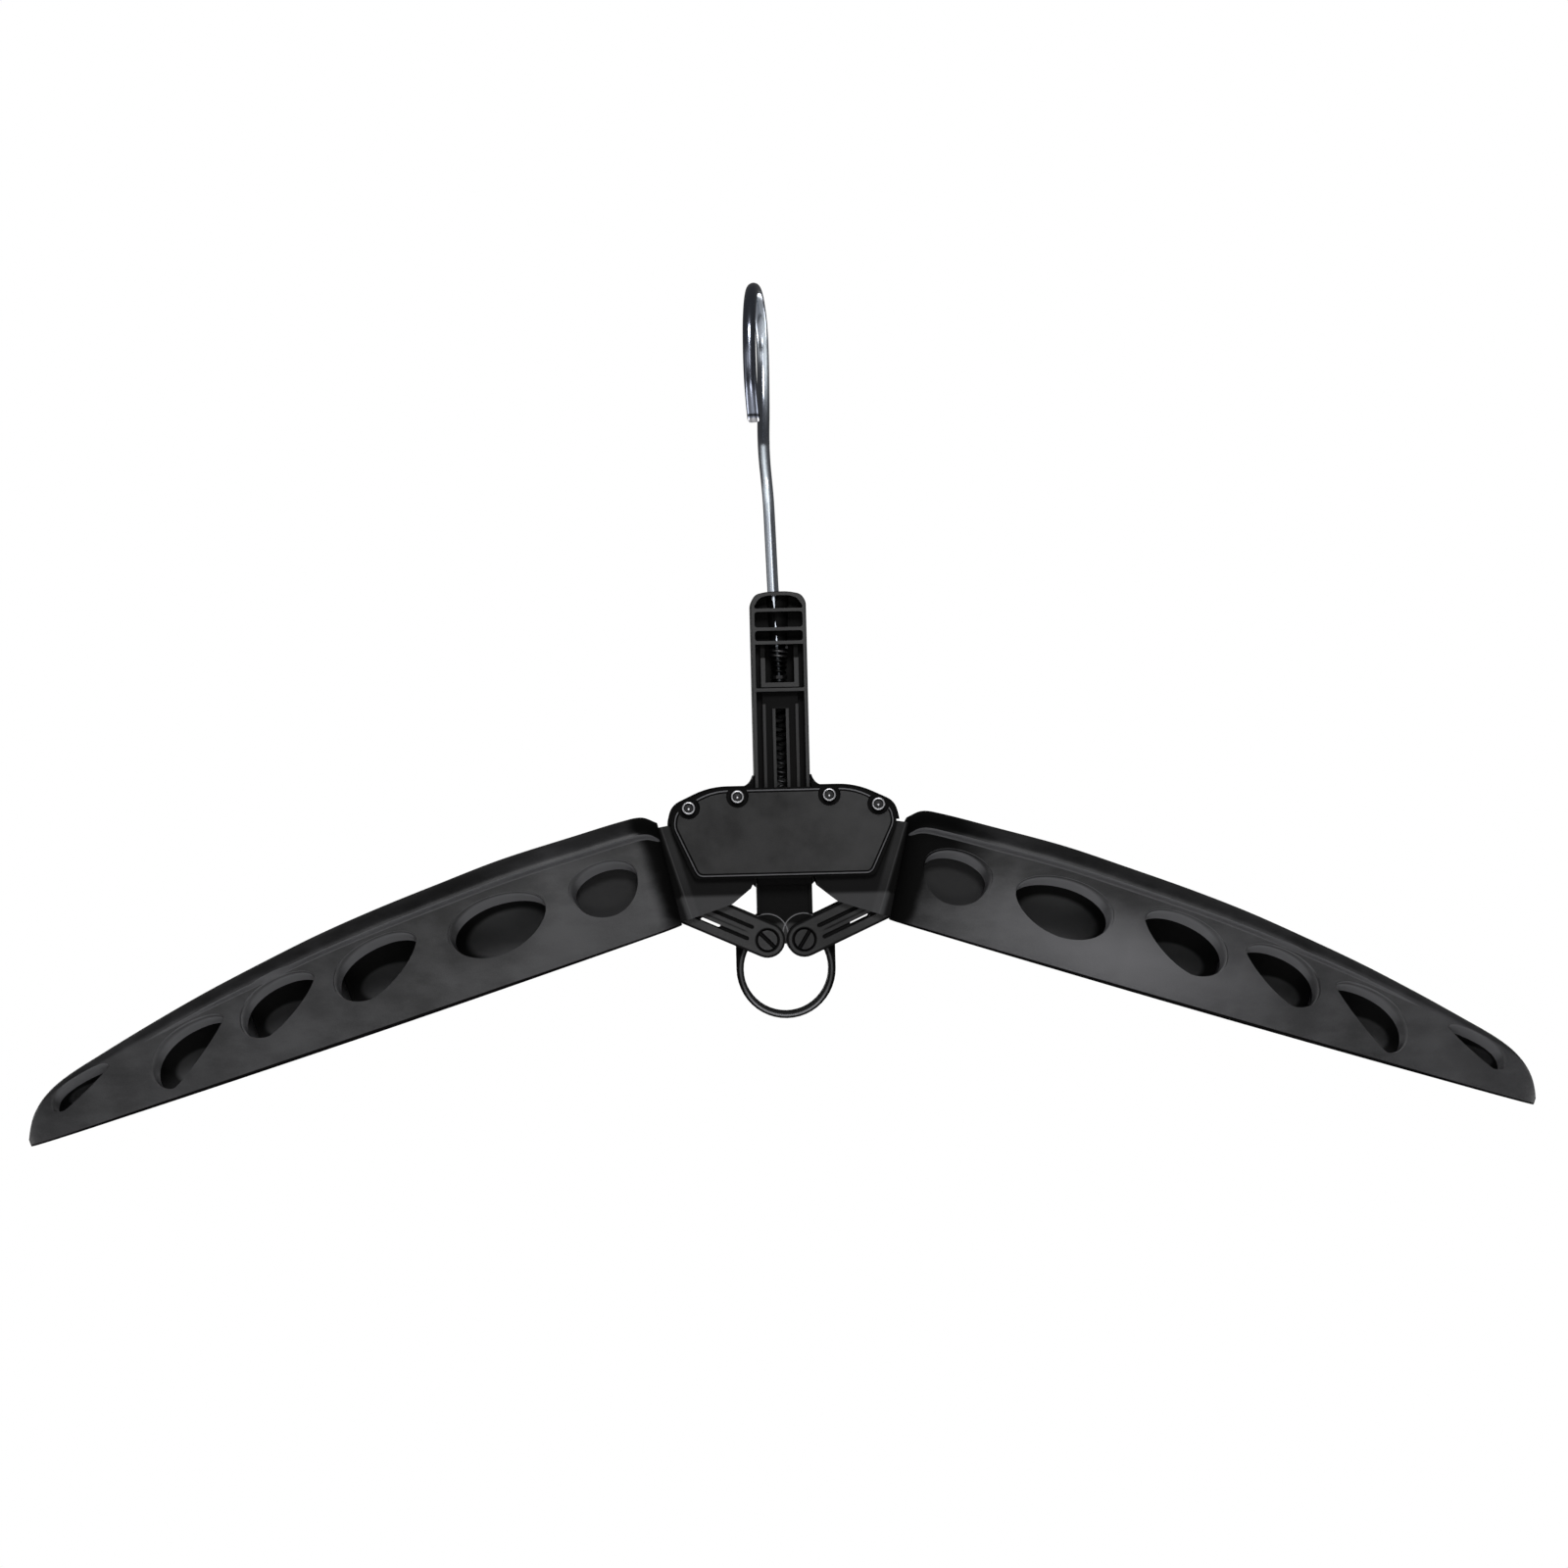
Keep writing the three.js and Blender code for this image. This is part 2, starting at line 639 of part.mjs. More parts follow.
function stemLugs() {
  const holdHeight = stemBottom + overrun / 2;
  const hip = linkPivotHeight + lugRadius + lugRise;
  const blade = roundedShape(
    bothHalves([
      [stemHalfWidth, holdHeight, 0],
      [stemHalfWidth, hip, 0],
      [ringOuterRadius, linkPivotHeight + lugRise, lugRise],
      [ringOuterRadius, ringCentreHeight, 0],
    ])
  );
  let lower = slab(blade, -bladeWebHalf, bladeWebHalf);
  const inside = stemHalfWidth - stemRim;
  for (const side of [-1, 1]) {
    const edges = [side * inside, side * stemHalfWidth].sort((a, b) => a - b);
    lower = lower.add(box(edges[0], edges[1], -bladeHalf, bladeHalf, hip, holdHeight));
  }
  const ring = rodAlongY(0, ringCentreHeight, ringOuterRadius, -ringHalfDepth, ringHalfDepth, 48);
  lower = lower.add(ring);
  const hole = rodAlongY(0, ringCentreHeight, ringInnerRadius, -overrun, overrun, 48);
  lower = lower.subtract(hole);
  for (const side of [-1, 1]) {
    const x = side * linkPivotHalfSpan;
    const eyeRadius = lugRadius - lugRise / 2;
    lower = lower.add(rodAlongY(x, linkPivotHeight + lugRise, eyeRadius, -bladeHalf, bladeHalf, 32));
  }
  const gapWidth = linkPivotHalfSpan;
  lower = lower.add(
    box(-gapWidth, gapWidth, -bladeWebHalf, bladeWebHalf, linkPivotHeight - lugRise, hip)
  );
  for (const side of [-1, 1]) {
    const bore = pivotScrewRadius + holeGap;
    lower = lower.subtract(rodAlongY(side * linkPivotHalfSpan, linkPivotHeight, bore, -overrun, overrun, 16));
  }
  return lower;
}

function stemGeometry() {
  const slider = stemOpenings(stemPockets(stemBody()));
  return geometryOf(slider.add(stemLugs()));
}

// Links, worked out for the right side and mirrored for the left
const linkRise = Math.sin(radians(linkAngle));
const linkRun = Math.cos(radians(linkAngle));
const linkOuterX = linkPivotHalfSpan + linkLength * linkRun;
const linkOuterHeight = linkPivotHeight + linkLength * linkRise;

// A point of the link, from its inner pivot along it and across it, upwards
function onLink(along, across) {
  return new THREE.Vector2(
    linkPivotHalfSpan + along * linkRun - across * linkRise,
    linkPivotHeight + along * linkRise + across * linkRun
  );
}

// A bar with round ends between two distances along the link
function linkBar(from, to, across, half, steps = 8) {
  const points = [];
  for (let i = 0; i <= steps; i++) {
    const turn = Math.PI / 2 + (Math.PI * i) / steps;
    points.push(onLink(from + half * Math.cos(turn), across + half * Math.sin(turn)));
  }
  for (let i = 0; i <= steps; i++) {
    const turn = -Math.PI / 2 + (Math.PI * i) / steps;
    points.push(onLink(to + half * Math.cos(turn), across + half * Math.sin(turn)));
  }
  return new THREE.Shape(points);
}

function linkGeometry(face) {
  const between = (a, b) => (face < 0 ? [-b, -a] : [a, b]);
  let link = slab(linkBar(0, linkLength, 0, linkHalfWidth, 14), ...between(linkInner, linkOuter));
  const grooveFloor = linkOuter - linkGrooveDepth;
  for (const across of [-linkGrooveOffset, linkGrooveOffset]) {
    const groove = linkBar(linkGrooveStart, linkLength - linkGrooveEnd, across, linkGrooveWidth / 2, 4);
    link = link.subtract(slab(groove, ...between(grooveFloor, linkOuter + overrun)));
  }
  const slitEnd = linkSlitStart + linkSlitLength;
  const slit = linkBar(linkSlitStart, slitEnd, -linkGrooveOffset, linkGrooveWidth / 2, 4);
  link = link.subtract(slab(slit, -linkOuter - overrun, linkOuter + overrun));
  const through = [-linkOuter - overrun, linkOuter + overrun];
  link = link.subtract(
    rodAlongY(linkPivotHalfSpan, linkPivotHeight, pivotScrewRadius + holeGap, ...through, 16)
  );
  link = link.subtract(
    rodAlongY(
      linkPivotHalfSpan,
      linkPivotHeight,
      pivotHeadRadius + holeGap,
      ...between(linkOuter - pivotHeadRecess, linkOuter + overrun),
      24
    )
  );
  link = link.subtract(rodAlongY(linkOuterX, linkOuterHeight, linkPinRadius + holeGap, ...through, 16));
  return geometryOf(link);
}

function linkPinGeometry() {
  const reach = neckInner + pinSeatDepth;
  return geometryOf(rodAlongY(linkOuterX, linkOuterHeight, linkPinRadius, -reach, reach, 16));
}

function pivotScrewGeometry(side, slotTurn) {
  const x = side * linkPivotHalfSpan;
  const under = linkOuter - pivotHeadRecess + seatGap;
  let screw = rodAlongY(x, linkPivotHeight, pivotHeadRadius, -under - pivotHeadThickness, -under, 24);
  const tail = under + pivotHeadThickness - nutFloor - seatGap;
  const start = -under - pivotHeadThickness / 2;
  screw = screw.add(rodAlongY(x, linkPivotHeight, pivotScrewRadius, start, tail, 16));
  const slot = new THREE.BoxGeometry(4 * pivotHeadRadius, 2 * pivotSlotDepth, pivotSlotWidth);
  slot.rotateY(-radians(slotTurn));
  slot.translate(x, -under - pivotHeadThickness, linkPivotHeight);
  return geometryOf(screw.subtract(solidOf(slot)));
}

function pivotNutGeometry(side) {
  const x = side * linkPivotHalfSpan;
  const under = linkOuter - pivotHeadRecess + seatGap;
  const nut = rodAlongY(x, linkPivotHeight, pivotHeadRadius, under, under + pivotHeadThickness, 24);
  const floor = under + pivotHeadThickness - nutFloor;
  const bore = rodAlongY(x, linkPivotHeight, pivotScrewRadius + holeGap, -overrun, floor, 16);
  return geometryOf(nut.subtract(bore));
}

// Arms, worked out for the right side and mirrored for the left
function armTopAt(u) {
  return armHeight * smoothTable(topLengthShares, topHeightShares, u / armLength);
}

function armHalfDepthAt(u) {
  const share = u / armLength;
  const noseShare = depthLengthShares[depthLengthShares.length - 1];
  const body = armHalfDepth * smoothTable(depthLengthShares, depthShares, Math.min(share, noseShare));
  if (u < armEndRound) {
    const back = 1 - u / armEndRound;
    return armEndHalfDepth + (body - armEndHalfDepth) * Math.sqrt(1 - back * back);
  }
  if (share > noseShare) {
    const on = (share - noseShare) / (1 - noseShare);
    return Math.max(body * Math.sqrt(Math.max(1 - on * on, 0)), noseHalfDepth);
  }
  return body;
}

// From the arm's own frame to the hanger's: u outwards along its lower edge, v upwards
function armPoint(u, y, v) {
  const slope = radians(armSlope);
  const lean = armEndLean * (v / armHeight) * Math.max(0, 1 - u / armLeanFade);
  const along = u - lean;
  return new THREE.Vector3(
    armRootHalfSpan + along * Math.cos(slope) + v * Math.sin(slope),
    y,
    armRootHeight - along * Math.sin(slope) + v * Math.cos(slope)
  );
}

function creaseInsetAt(u) {
  return creaseInset * (1 - THREE.MathUtils.smoothstep(u / armLength, creaseFade[0], creaseFade[1]));
}

// Depth by which the lower edge sags below the straight line between its ends
function hemSagAt(u) {
  const share = u / armLength;
  return 4 * hemBow * share * (1 - share);
}

// One cross-section of the arm's outer skin: flank, overhanging rolled top, flank
function armOuterRing(u) {
  const top = armTopAt(u);
  const half = armHalfDepthAt(u);
  const roll = top * rollHeightShare;
  const ease = Math.min(1, half / armHalfDepth);
  const hem = half - hemInset * ease;
  const crease = half - creaseInsetAt(u) * ease;
  const round = roll * rollRoundShare;
  const front = [
    [hem, -hemSagAt(u)],
    [(hem + crease) / 2, (top - roll) / 2],
    [crease, top - roll],
    [half, top - round],
  ];
  const arcSteps = 4;
  for (let i = 1; i < arcSteps; i++) {
    const turn = (Math.PI / 2) * (i / arcSteps);
    front.push([half * Math.cos(turn), top - round + round * Math.sin(turn)]);
  }
  const ring = front.map(([y, v]) => armPoint(u, -y, v));
  ring.push(armPoint(u, 0, top));
  const rear = front.map(([y, v]) => armPoint(u, y, v)).reverse();
  return ring.concat(rear);
}

// One cross-section of the hollow under the skin, open downwards
function armInnerRing(u) {
  const top = armTopAt(u) - armWall;
  const half = armHalfDepthAt(u);
  const roll = armTopAt(u) * rollHeightShare;
  const ease = Math.min(1, half / armHalfDepth);
  const hem = half - hemInset * ease - armWall;
  const crease = half - creaseInsetAt(u) * ease - armWall;
  const sides = [
    [hem, -overrun],
    [crease, top - roll],
    [crease * roofEdgeShare, top - roll * roofDropShare],
    [crease * roofFlatShare, top],
  ];
  const front = sides.map(([y, v]) => armPoint(u, -y, v));
  const rear = sides.map(([y, v]) => armPoint(u, y, v)).reverse();
  return front.concat(rear);
}

function armCells() {
  const webs = webShares.map((share) => share * armLength);
  const bounds = [armWall, ...webs, lastCellEndShare * armLength];
  const stations = stationShares.map((share) => share * armLength);
  const cells = [];
  for (let i = 0; i + 1 < bounds.length; i++) {
    const from = bounds[i] + (i > 0 ? webThickness / 2 : 0);
    const to = bounds[i + 1] - (i + 2 < bounds.length ? webThickness / 2 : 0);
    const middle = stations.filter((u) => u > from + armWall && u < to - armWall);
    cells.push(solidOf(loftedGeometry([from, ...middle, to].map(armInnerRing))));
  }
  return cells;
}

// The cutter of one leaf-shaped hole: it follows the flank and drops as it goes in
function leafCutter({ inner, top, outer, bottom, bow }, shift) {
  const at = ([uShare, vShare]) => [uShare * armLength + shift, vShare * armHeight];
  const quarters = [
    [at(outer), at(top), 2, true],
    [at(top), at(inner), 2, false],
    [at(inner), at(bottom), bow, true],
    [at(bottom), at(outer), 2, false],
  ];
  const outline = [];
  for (const [from, to, power, startsUpright] of quarters) {
    for (let i = 0; i < leafSteps; i++) {
      const turn = (Math.PI / 2) * (i / leafSteps);
      const near = Math.cos(turn) ** (2 / power);
      const far = Math.sin(turn) ** (2 / power);
      const along = startsUpright ? 1 - near : far;
      const across = startsUpright ? far : 1 - near;
      outline.push([from[0] + (to[0] - from[0]) * along, from[1] + (to[1] - from[1]) * across]);
    }
  }
  const ringAt = (inward) =>
    outline.map(([u, v]) => {
      const surface = creaseInsetAt(u) - armHalfDepthAt(u);
      return armPoint(u, surface + inward, v - leafTilt * inward);
    });
  return solidOf(loftedGeometry([ringAt(-armWall), ringAt(leafCutDepth)]));
}

function neckShape() {
  const points = [];
  const steps = 16;
  for (let i = 0; i <= steps; i++) {
    const turn = radians(neckTopAngle + ((neckBottomAngle - neckTopAngle) * i) / steps);
    points.push(
      new THREE.Vector2(
        armPivotHalfSpan + neckLobeRadius * Math.cos(turn),
        armPivotHeight + neckLobeRadius * Math.sin(turn)
      )
    );
  }
  const inArm = (u, v) => {
    const point = armPoint(u, 0, v);
    return new THREE.Vector2(point.x, point.z);
  };
  points.push(new THREE.Vector2(neckChinX, neckChinHeight));
  points.push(inArm(-neckThickness, webThickness / 2));
  points.push(inArm(armWall, webThickness));
  points.push(inArm(neckReach, webThickness));
  points.push(inArm(neckReach, neckHeightInside));
  points.push(inArm(0, neckHeightInside + webThickness));
  return new THREE.Shape(points);
}

// The pin's slot in the neck plates: an oblong along the path that the pin takes in the arm
function pinSlotShape() {
  const half = linkPinRadius + pinSlotHalfSway + holeGap;
  const turn = radians(pinSlotTurn - armSlope);
  const middle = new THREE.Vector2(
    linkOuterX + pinSlotHalfSway * Math.sin(turn),
    linkOuterHeight - pinSlotHalfSway * Math.cos(turn)
  );
  const steps = 8;
  const points = [];
  for (const end of [1, -1]) {
    for (let i = 0; i <= steps; i++) {
      const angle = turn + (Math.PI * i) / steps - (end * Math.PI) / 2;
      points.push(
        new THREE.Vector2(
          middle.x + end * pinSlotHalfLength * Math.cos(turn) + half * Math.cos(angle),
          middle.y + end * pinSlotHalfLength * Math.sin(turn) + half * Math.sin(angle)
        )
      );
    }
  }
  return new THREE.Shape(points);
}

function armGeometry(shift) {
  let arm = solidOf(loftedGeometry(stationShares.map((share) => armOuterRing(share * armLength))));
  for (const cell of armCells()) {
    arm = arm.subtract(cell);
  }
  for (const leaf of leafShares) {
    arm = arm.subtract(leafCutter(leaf, shift));
  }
  const slotRings = [-overrun, armWall + overrun].map((u) => [
    armPoint(u, -neckInner, -overrun),
    armPoint(u, -neckInner, neckHeightInside),
    armPoint(u, neckInner, neckHeightInside),
    armPoint(u, neckInner, -overrun),
  ]);
  arm = arm.subtract(solidOf(loftedGeometry(slotRings)));
  for (const [y0, y1] of [[-neckOuter, -neckInner], [neckInner, neckOuter]]) {
    arm = arm.add(slab(neckShape(), y0, y1));
  }
  const reach = neckOuter + overrun;
  arm = arm.subtract(rodAlongY(armPivotHalfSpan, armPivotHeight, axleRadius + holeGap, -reach, reach, 20));
  const slotDepth = neckInner + pinSeatDepth + seatGap;
  arm = arm.subtract(slab(pinSlotShape(), -slotDepth, slotDepth));
  return geometryOf(arm);
}

function armAxleGeometry(side) {
  const reach = housingInner + axleSeatDepth - seatGap;
  return geometryOf(rodAlongY(side * armPivotHalfSpan, armPivotHeight, axleRadius, -reach, reach, 20));
}

// Housing outlines, each drawn a set distance inside the rear shell's
function housingCorners(inset) {
  return bothHalves([
    [housingShoulderX, housingTop - inset * shoulderInsetShare, housingShoulderX / 4],
    [
      housingCornerX - inset * cornerAcrossShare,
      housingCornerHeight - inset * cornerDownShare,
      housingCornerX / 10,
    ],
    [housingSideX - inset, housingSideHeight, housingWall],
    [housingFootX - inset, housingFoot + inset * footInsetShare, housingWall],
  ]);
}

function rearShellGeometry() {
  const outline = roundedShape(housingCorners(0));
  let shell = slab(outline, -housingInner + seatGap, housingOuter, webHalf / 4);
  const hollow = roundedShape(housingCorners(housingWall));
  shell = shell.subtract(slab(hollow, -housingOuter, housingInner));
  const wide = 2 * housingSideX;
  const low = housingFoot - overrun;
  shell = shell.subtract(box(-wide, wide, -housingOuter, housingInner, low, wallFootHeight));
  const stemClear = stemHalfWidth + seatGap;
  const guide = stemHalfDepth + runningGap;
  shell = shell.subtract(box(-stemClear, stemClear, -housingOuter, guide, low, housingTop + overrun));
  const bossFront = -housingInner + seatGap;
  const bossRear = housingInner + housingWall / 2;
  for (const { x, height } of coverScrewPlaces) {
    shell = shell.add(rodAlongY(x, height, screwBossRadius, bossFront, bossRear, 16));
  }
  for (const side of [-1, 1]) {
    const lug = new THREE.Shape();
    const bend = side * (stemClear + housingWall / 2);
    lug.moveTo(side * stemClear, wallFootHeight + housingWall);
    lug.lineTo(side * stemClear, housingTop + collarRise);
    lug.quadraticCurveTo(bend, housingTop, side * collarHalfWidth, housingTop - seatGap);
    lug.lineTo(side * collarHalfWidth, wallFootHeight + housingWall);
    lug.closePath();
    shell = shell.add(slab(lug, bossFront, bossRear));
  }
  const padFoot = housingFoot + housingWall;
  const padRear = housingOuter - housingWall / 2;
  shell = shell.add(box(-guidePadHalfWidth, guidePadHalfWidth, guide, padRear, padFoot, housingTop));
  const skirt = roundedShape(
    bothHalves([
      [skirtHalfWidth, padFoot, 0],
      [skirtHalfWidth, housingFoot, 0],
      [stemHalfWidth, skirtFoot, 0],
    ])
  );
  shell = shell.add(slab(skirt, housingInner, housingOuter - housingWall / 4));
  shell = shell.add(
    box(-pegHalfWidth, pegHalfWidth, -mainSpringRadius, housingInner, pegBottom, pegBottom + pegHeight)
  );
  for (const { x, height } of coverScrewPlaces) {
    const bore = coverScrewRadius + holeGap;
    const floor = coverScrewLength - housingInner + seatGap;
    shell = shell.subtract(rodAlongY(x, height, bore, -housingOuter, floor, 12));
  }
  for (const side of [-1, 1]) {
    const bore = axleRadius + holeGap;
    shell = shell.subtract(
      rodAlongY(side * armPivotHalfSpan, armPivotHeight, bore, -housingOuter, housingInner + axleSeatDepth, 20)
    );
  }
  return geometryOf(shell);
}

function frontCoverGeometry() {
  const flange = roundedShape(housingCorners(flangeInset));
  let cover = slab(flange, -housingOuter, -housingInner, 0);
  const panel = roundedShape(housingCorners(panelInset));
  const panelFront = -housingOuter - panelRise;
  const rise = slab(panel, panelFront, -housingInner - housingWall / 2 + panelBevel, panelBevel);
  const wide = 2 * housingSideX;
  const keepFlat = box(-wide, wide, -housingInner, housingOuter, -housingDrop, housingDrop);
  cover = cover.add(rise.subtract(keepFlat));
  for (const { x, height } of coverScrewPlaces) {
    cover = cover.subtract(
      rodAlongY(x, height, coverNotchRadius, panelFront - overrun, -housingOuter, 24)
    );
    cover = cover.subtract(rodAlongY(x, height, coverScrewRadius + holeGap, -housingOuter - overrun, 0, 12));
  }
  cover = cover.add(
    box(
      -guidePadHalfWidth,
      guidePadHalfWidth,
      -housingOuter + housingWall / 2,
      -stemHalfDepth - runningGap,
      housingFoot + housingWall,
      housingTop - housingWall
    )
  );
  for (const side of [-1, 1]) {
    const bore = axleRadius + holeGap;
    cover = cover.subtract(
      rodAlongY(side * armPivotHalfSpan, armPivotHeight, bore, -housingInner - axleSeatDepth, housingOuter, 20)
    );
  }
  return geometryOf(cover);
}

// A round-headed screw with a socket, its axis along Y and its head to the front
function coverScrewGeometry({ x, height }) {
  const under = housingOuter + seatGap;
  const crown = under + coverScrewHeadHeight;
  const profile = [
    [0, under - coverScrewLength],
    [coverScrewRadius, under - coverScrewLength],
    [coverScrewRadius, under],
    [coverScrewHeadRadius, under],
    [coverScrewHeadRadius, under + coverScrewHeadHeight / 2],
    [coverScrewHeadRadius * screwShoulderShare, crown - coverScrewHeadHeight * screwShoulderDropShare],
    [coverScrewSocketRadius * socketRimShare, crown],
    [coverScrewSocketRadius, crown - coverScrewHeadHeight * socketRimDropShare],
    [coverScrewSocketRadius, crown - coverScrewSocketDepth],
    [0, crown - coverScrewSocketDepth],
  ];
  const geometry = new THREE.LatheGeometry(profile.map(([r, along]) => new THREE.Vector2(r, along)), 12);
  geometry.rotateX(Math.PI);
  geometry.translate(x, 0, height);
  return closed(geometry);
}

const hanger = new THREE.Group();
const body = new THREE.Group();
body.position.x = (housingDrop - leanStart) * Math.tan(radians(rodLean));
body.position.z = -housingDrop;
hanger.add(body);

function addPiece(name, geometry, material) {
  const mesh = new THREE.Mesh(geometry, material);
  mesh.name = name;
  body.add(mesh);
}

addPiece("hook_wire", hookGeometry(), steel);
addPiece("hook_spring", hookSpringGeometry(), darkSteel);
addPiece("hook_collar", hookCollarGeometry(), darkSteel);
addPiece("stem", stemGeometry(), black);
addPiece("main_spring", mainSpringGeometry(), darkSteel);
addPiece("rear_shell", rearShellGeometry(), black);
addPiece("front_cover", frontCoverGeometry(), black);
coverScrewPlaces.forEach((place, i) => {
  addPiece(`cover_screw_${i + 1}`, coverScrewGeometry(place), darkSteel);
});

const arms = { left: armGeometry(leafShift.left), right: armGeometry(leafShift.right) };
const rightFrontLink = linkGeometry(-1);
const rightRearLink = linkGeometry(1);
const rightLinkPin = linkPinGeometry();
for (const [name, side] of [["left", -1], ["right", 1]]) {
  const placed = (geometry) => (side < 0 ? mirrored(geometry) : geometry);
  addPiece(`${name}_arm`, placed(arms[name]), black);
  addPiece(`${name}_arm_axle`, armAxleGeometry(side), darkSteel);
  addPiece(`${name}_front_link`, placed(rightFrontLink), black);
  addPiece(`${name}_rear_link`, placed(rightRearLink), black);
  addPiece(`${name}_link_pin`, placed(rightLinkPin), darkSteel);
  addPiece(`${name}_pivot_screw`, pivotScrewGeometry(side, pivotSlotTurn[name]), black);
  addPiece(`${name}_pivot_nut`, pivotNutGeometry(side), black);
}

export default hanger;
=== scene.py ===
"""Looks of a folding wetsuit hanger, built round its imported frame.

Metres, +Z up, the front towards -Y. The materials alone measure in millimetres.
"""

import math
from functools import partialmethod

import bmesh
import bpy
import numpy as np
from bpy.props import FloatProperty, FloatVectorProperty, PointerProperty
from mathutils import Euler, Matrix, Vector


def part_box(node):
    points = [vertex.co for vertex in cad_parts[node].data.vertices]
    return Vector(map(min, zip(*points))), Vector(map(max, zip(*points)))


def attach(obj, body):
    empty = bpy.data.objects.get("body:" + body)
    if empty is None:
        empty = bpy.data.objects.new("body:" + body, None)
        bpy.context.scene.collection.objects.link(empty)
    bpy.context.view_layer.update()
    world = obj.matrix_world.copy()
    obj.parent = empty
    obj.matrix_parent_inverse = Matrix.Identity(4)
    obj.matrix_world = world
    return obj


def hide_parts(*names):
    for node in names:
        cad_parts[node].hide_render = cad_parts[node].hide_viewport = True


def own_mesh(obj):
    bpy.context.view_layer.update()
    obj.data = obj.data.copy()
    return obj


bl_info = {
    "name": "Wetsuit hanger",
    "version": (1, 0, 0),
    "blender": (4, 5, 0),
    "location": "3D View > Sidebar > Hanger",
    "description": "Builds a folding wetsuit hanger round its packed frame",
    "category": "Object",
}

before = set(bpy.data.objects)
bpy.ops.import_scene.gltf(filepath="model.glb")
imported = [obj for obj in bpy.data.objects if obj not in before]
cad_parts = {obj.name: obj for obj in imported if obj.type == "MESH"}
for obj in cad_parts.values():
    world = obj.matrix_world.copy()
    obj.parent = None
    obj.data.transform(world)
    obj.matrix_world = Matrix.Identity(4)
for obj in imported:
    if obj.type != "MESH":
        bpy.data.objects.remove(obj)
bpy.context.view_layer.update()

MM = 0.001
STEM_X = sum(corner.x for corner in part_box("stem")) / 2
DATUM = -185.5 * MM

# The photograph's camera looks level at a point on the stem
VIEW_DISTANCE = 1.0
VIEW_HEIGHT = 22.8 * MM
VIEW_ASIDE = 0.8 * MM
VIEW_WIDTH = 521.8 * MM
VIEW_YAW = math.radians(-2.2)
VIEW_ROLL = math.radians(-1.35)
FLOOR_Z = -0.62
FLOOR_REACH = 3.0

# The arm, in its own frame: u outwards along its lower edge, v upwards
ARM_LENGTH = 226.2 * MM
ARM_HEIGHT = 39.6 * MM
ARM_HALF_DEPTH = 20 * MM
ARM_SLOPE = math.radians(17.5)
ARM_ROOT_X = 34.2 * MM
ARM_ROOT_Z = -22.75 * MM
ARM_WALL = 2.6 * MM
ARM_END_HALF_DEPTH = 12.5 * MM
ARM_END_ROUND = 9 * MM
ARM_END_LEAN = 3.4 * MM
ARM_LEAN_FADE = 44 * MM
CREASE_INSET = 2.4 * MM
CREASE_FADE = (0.62, 0.86)
HEM_INSET = 1.2 * MM
HEM_BOW = 0.65 * MM
HEM_ROUND = 0.8 * MM
ROLL_HEIGHT_SHARE = 0.2
WEB_THICKNESS = 1.6 * MM
SINK_WIDTH = 3 * MM
NOSE_HALF_DEPTH = 1.2 * MM
TOP_LENGTH_SHARES = (
    0, 0.018, 0.044, 0.11, 0.22, 0.32, 0.42, 0.51, 0.6, 0.69, 0.78, 0.86, 0.92, 0.955, 0.98, 1,
)
TOP_HEIGHT_SHARES = (
    0.866, 0.949, 0.973, 0.986, 1, 0.976, 0.944, 0.898, 0.828, 0.747, 0.646, 0.543, 0.457, 0.369, 0.247, 0.07,
)
DEPTH_LENGTH_SHARES = (0, 0.42, 0.66, 0.86)
DEPTH_SHARES = (1, 0.98, 0.78, 0.55)
WEB_SHARES = (0.1515, 0.339, 0.505, 0.65, 0.812)
LAST_CELL_END_SHARE = 0.952
LEAF_DROP = 1.15
LEAF_OUTWARD = 0.35
LEAF_SHIFT = {-1: 1.6 * MM, 1: -1.6 * MM}
LEAVES = (
    ((0.0384, 0.533), (0.086, 0.702), (0.1311, 0.546), (0.0812, 0.2575), 2),
    ((0.172, 0.5324), (0.244, 0.7268), (0.3139, 0.508), (0.249, 0.25), 1.8),
    ((0.3629, 0.61), (0.405, 0.7159), (0.4911, 0.438), (0.4494, 0.2537), 1.4),
    ((0.519, 0.5783), (0.556, 0.6616), (0.6369, 0.3763), (0.606, 0.2298), 1.25),
    ((0.6624, 0.4937), (0.691, 0.5442), (0.7822, 0.2285), (0.7618, 0.0998), 1.15),
    ((0.8416, 0.4417), (0.857, 0.471), (0.938, 0.2492), (0.924, 0.215), 1.1),
)
# A hole's lit patch inside: moved inwards and down, and its two radii, as shares of the hole's half length
# and half height, and how well it is lit. The first two holes are wide.
WIDE_PATCH = (0.12, 0.36, 0.92, 0.84, 1.0)
NARROW_PATCH = (0.2, 0.64, 0.76, 0.66, 0.8)

NECK_INNER = 7 * MM
NECK_OUTER = 9.4 * MM
NECK_LOBE_RADIUS = 16.5 * MM
NECK_PIVOT = (26 * MM, -4 * MM)
NECK_ANGLES = (100, 206.5)
NECK_CHIN = (17.5 * MM, -16.4 * MM)
NECK_RISE = 4.6 * MM
NECK_REACH = 35 * MM
NECK_HEIGHT_INSIDE = 28 * MM

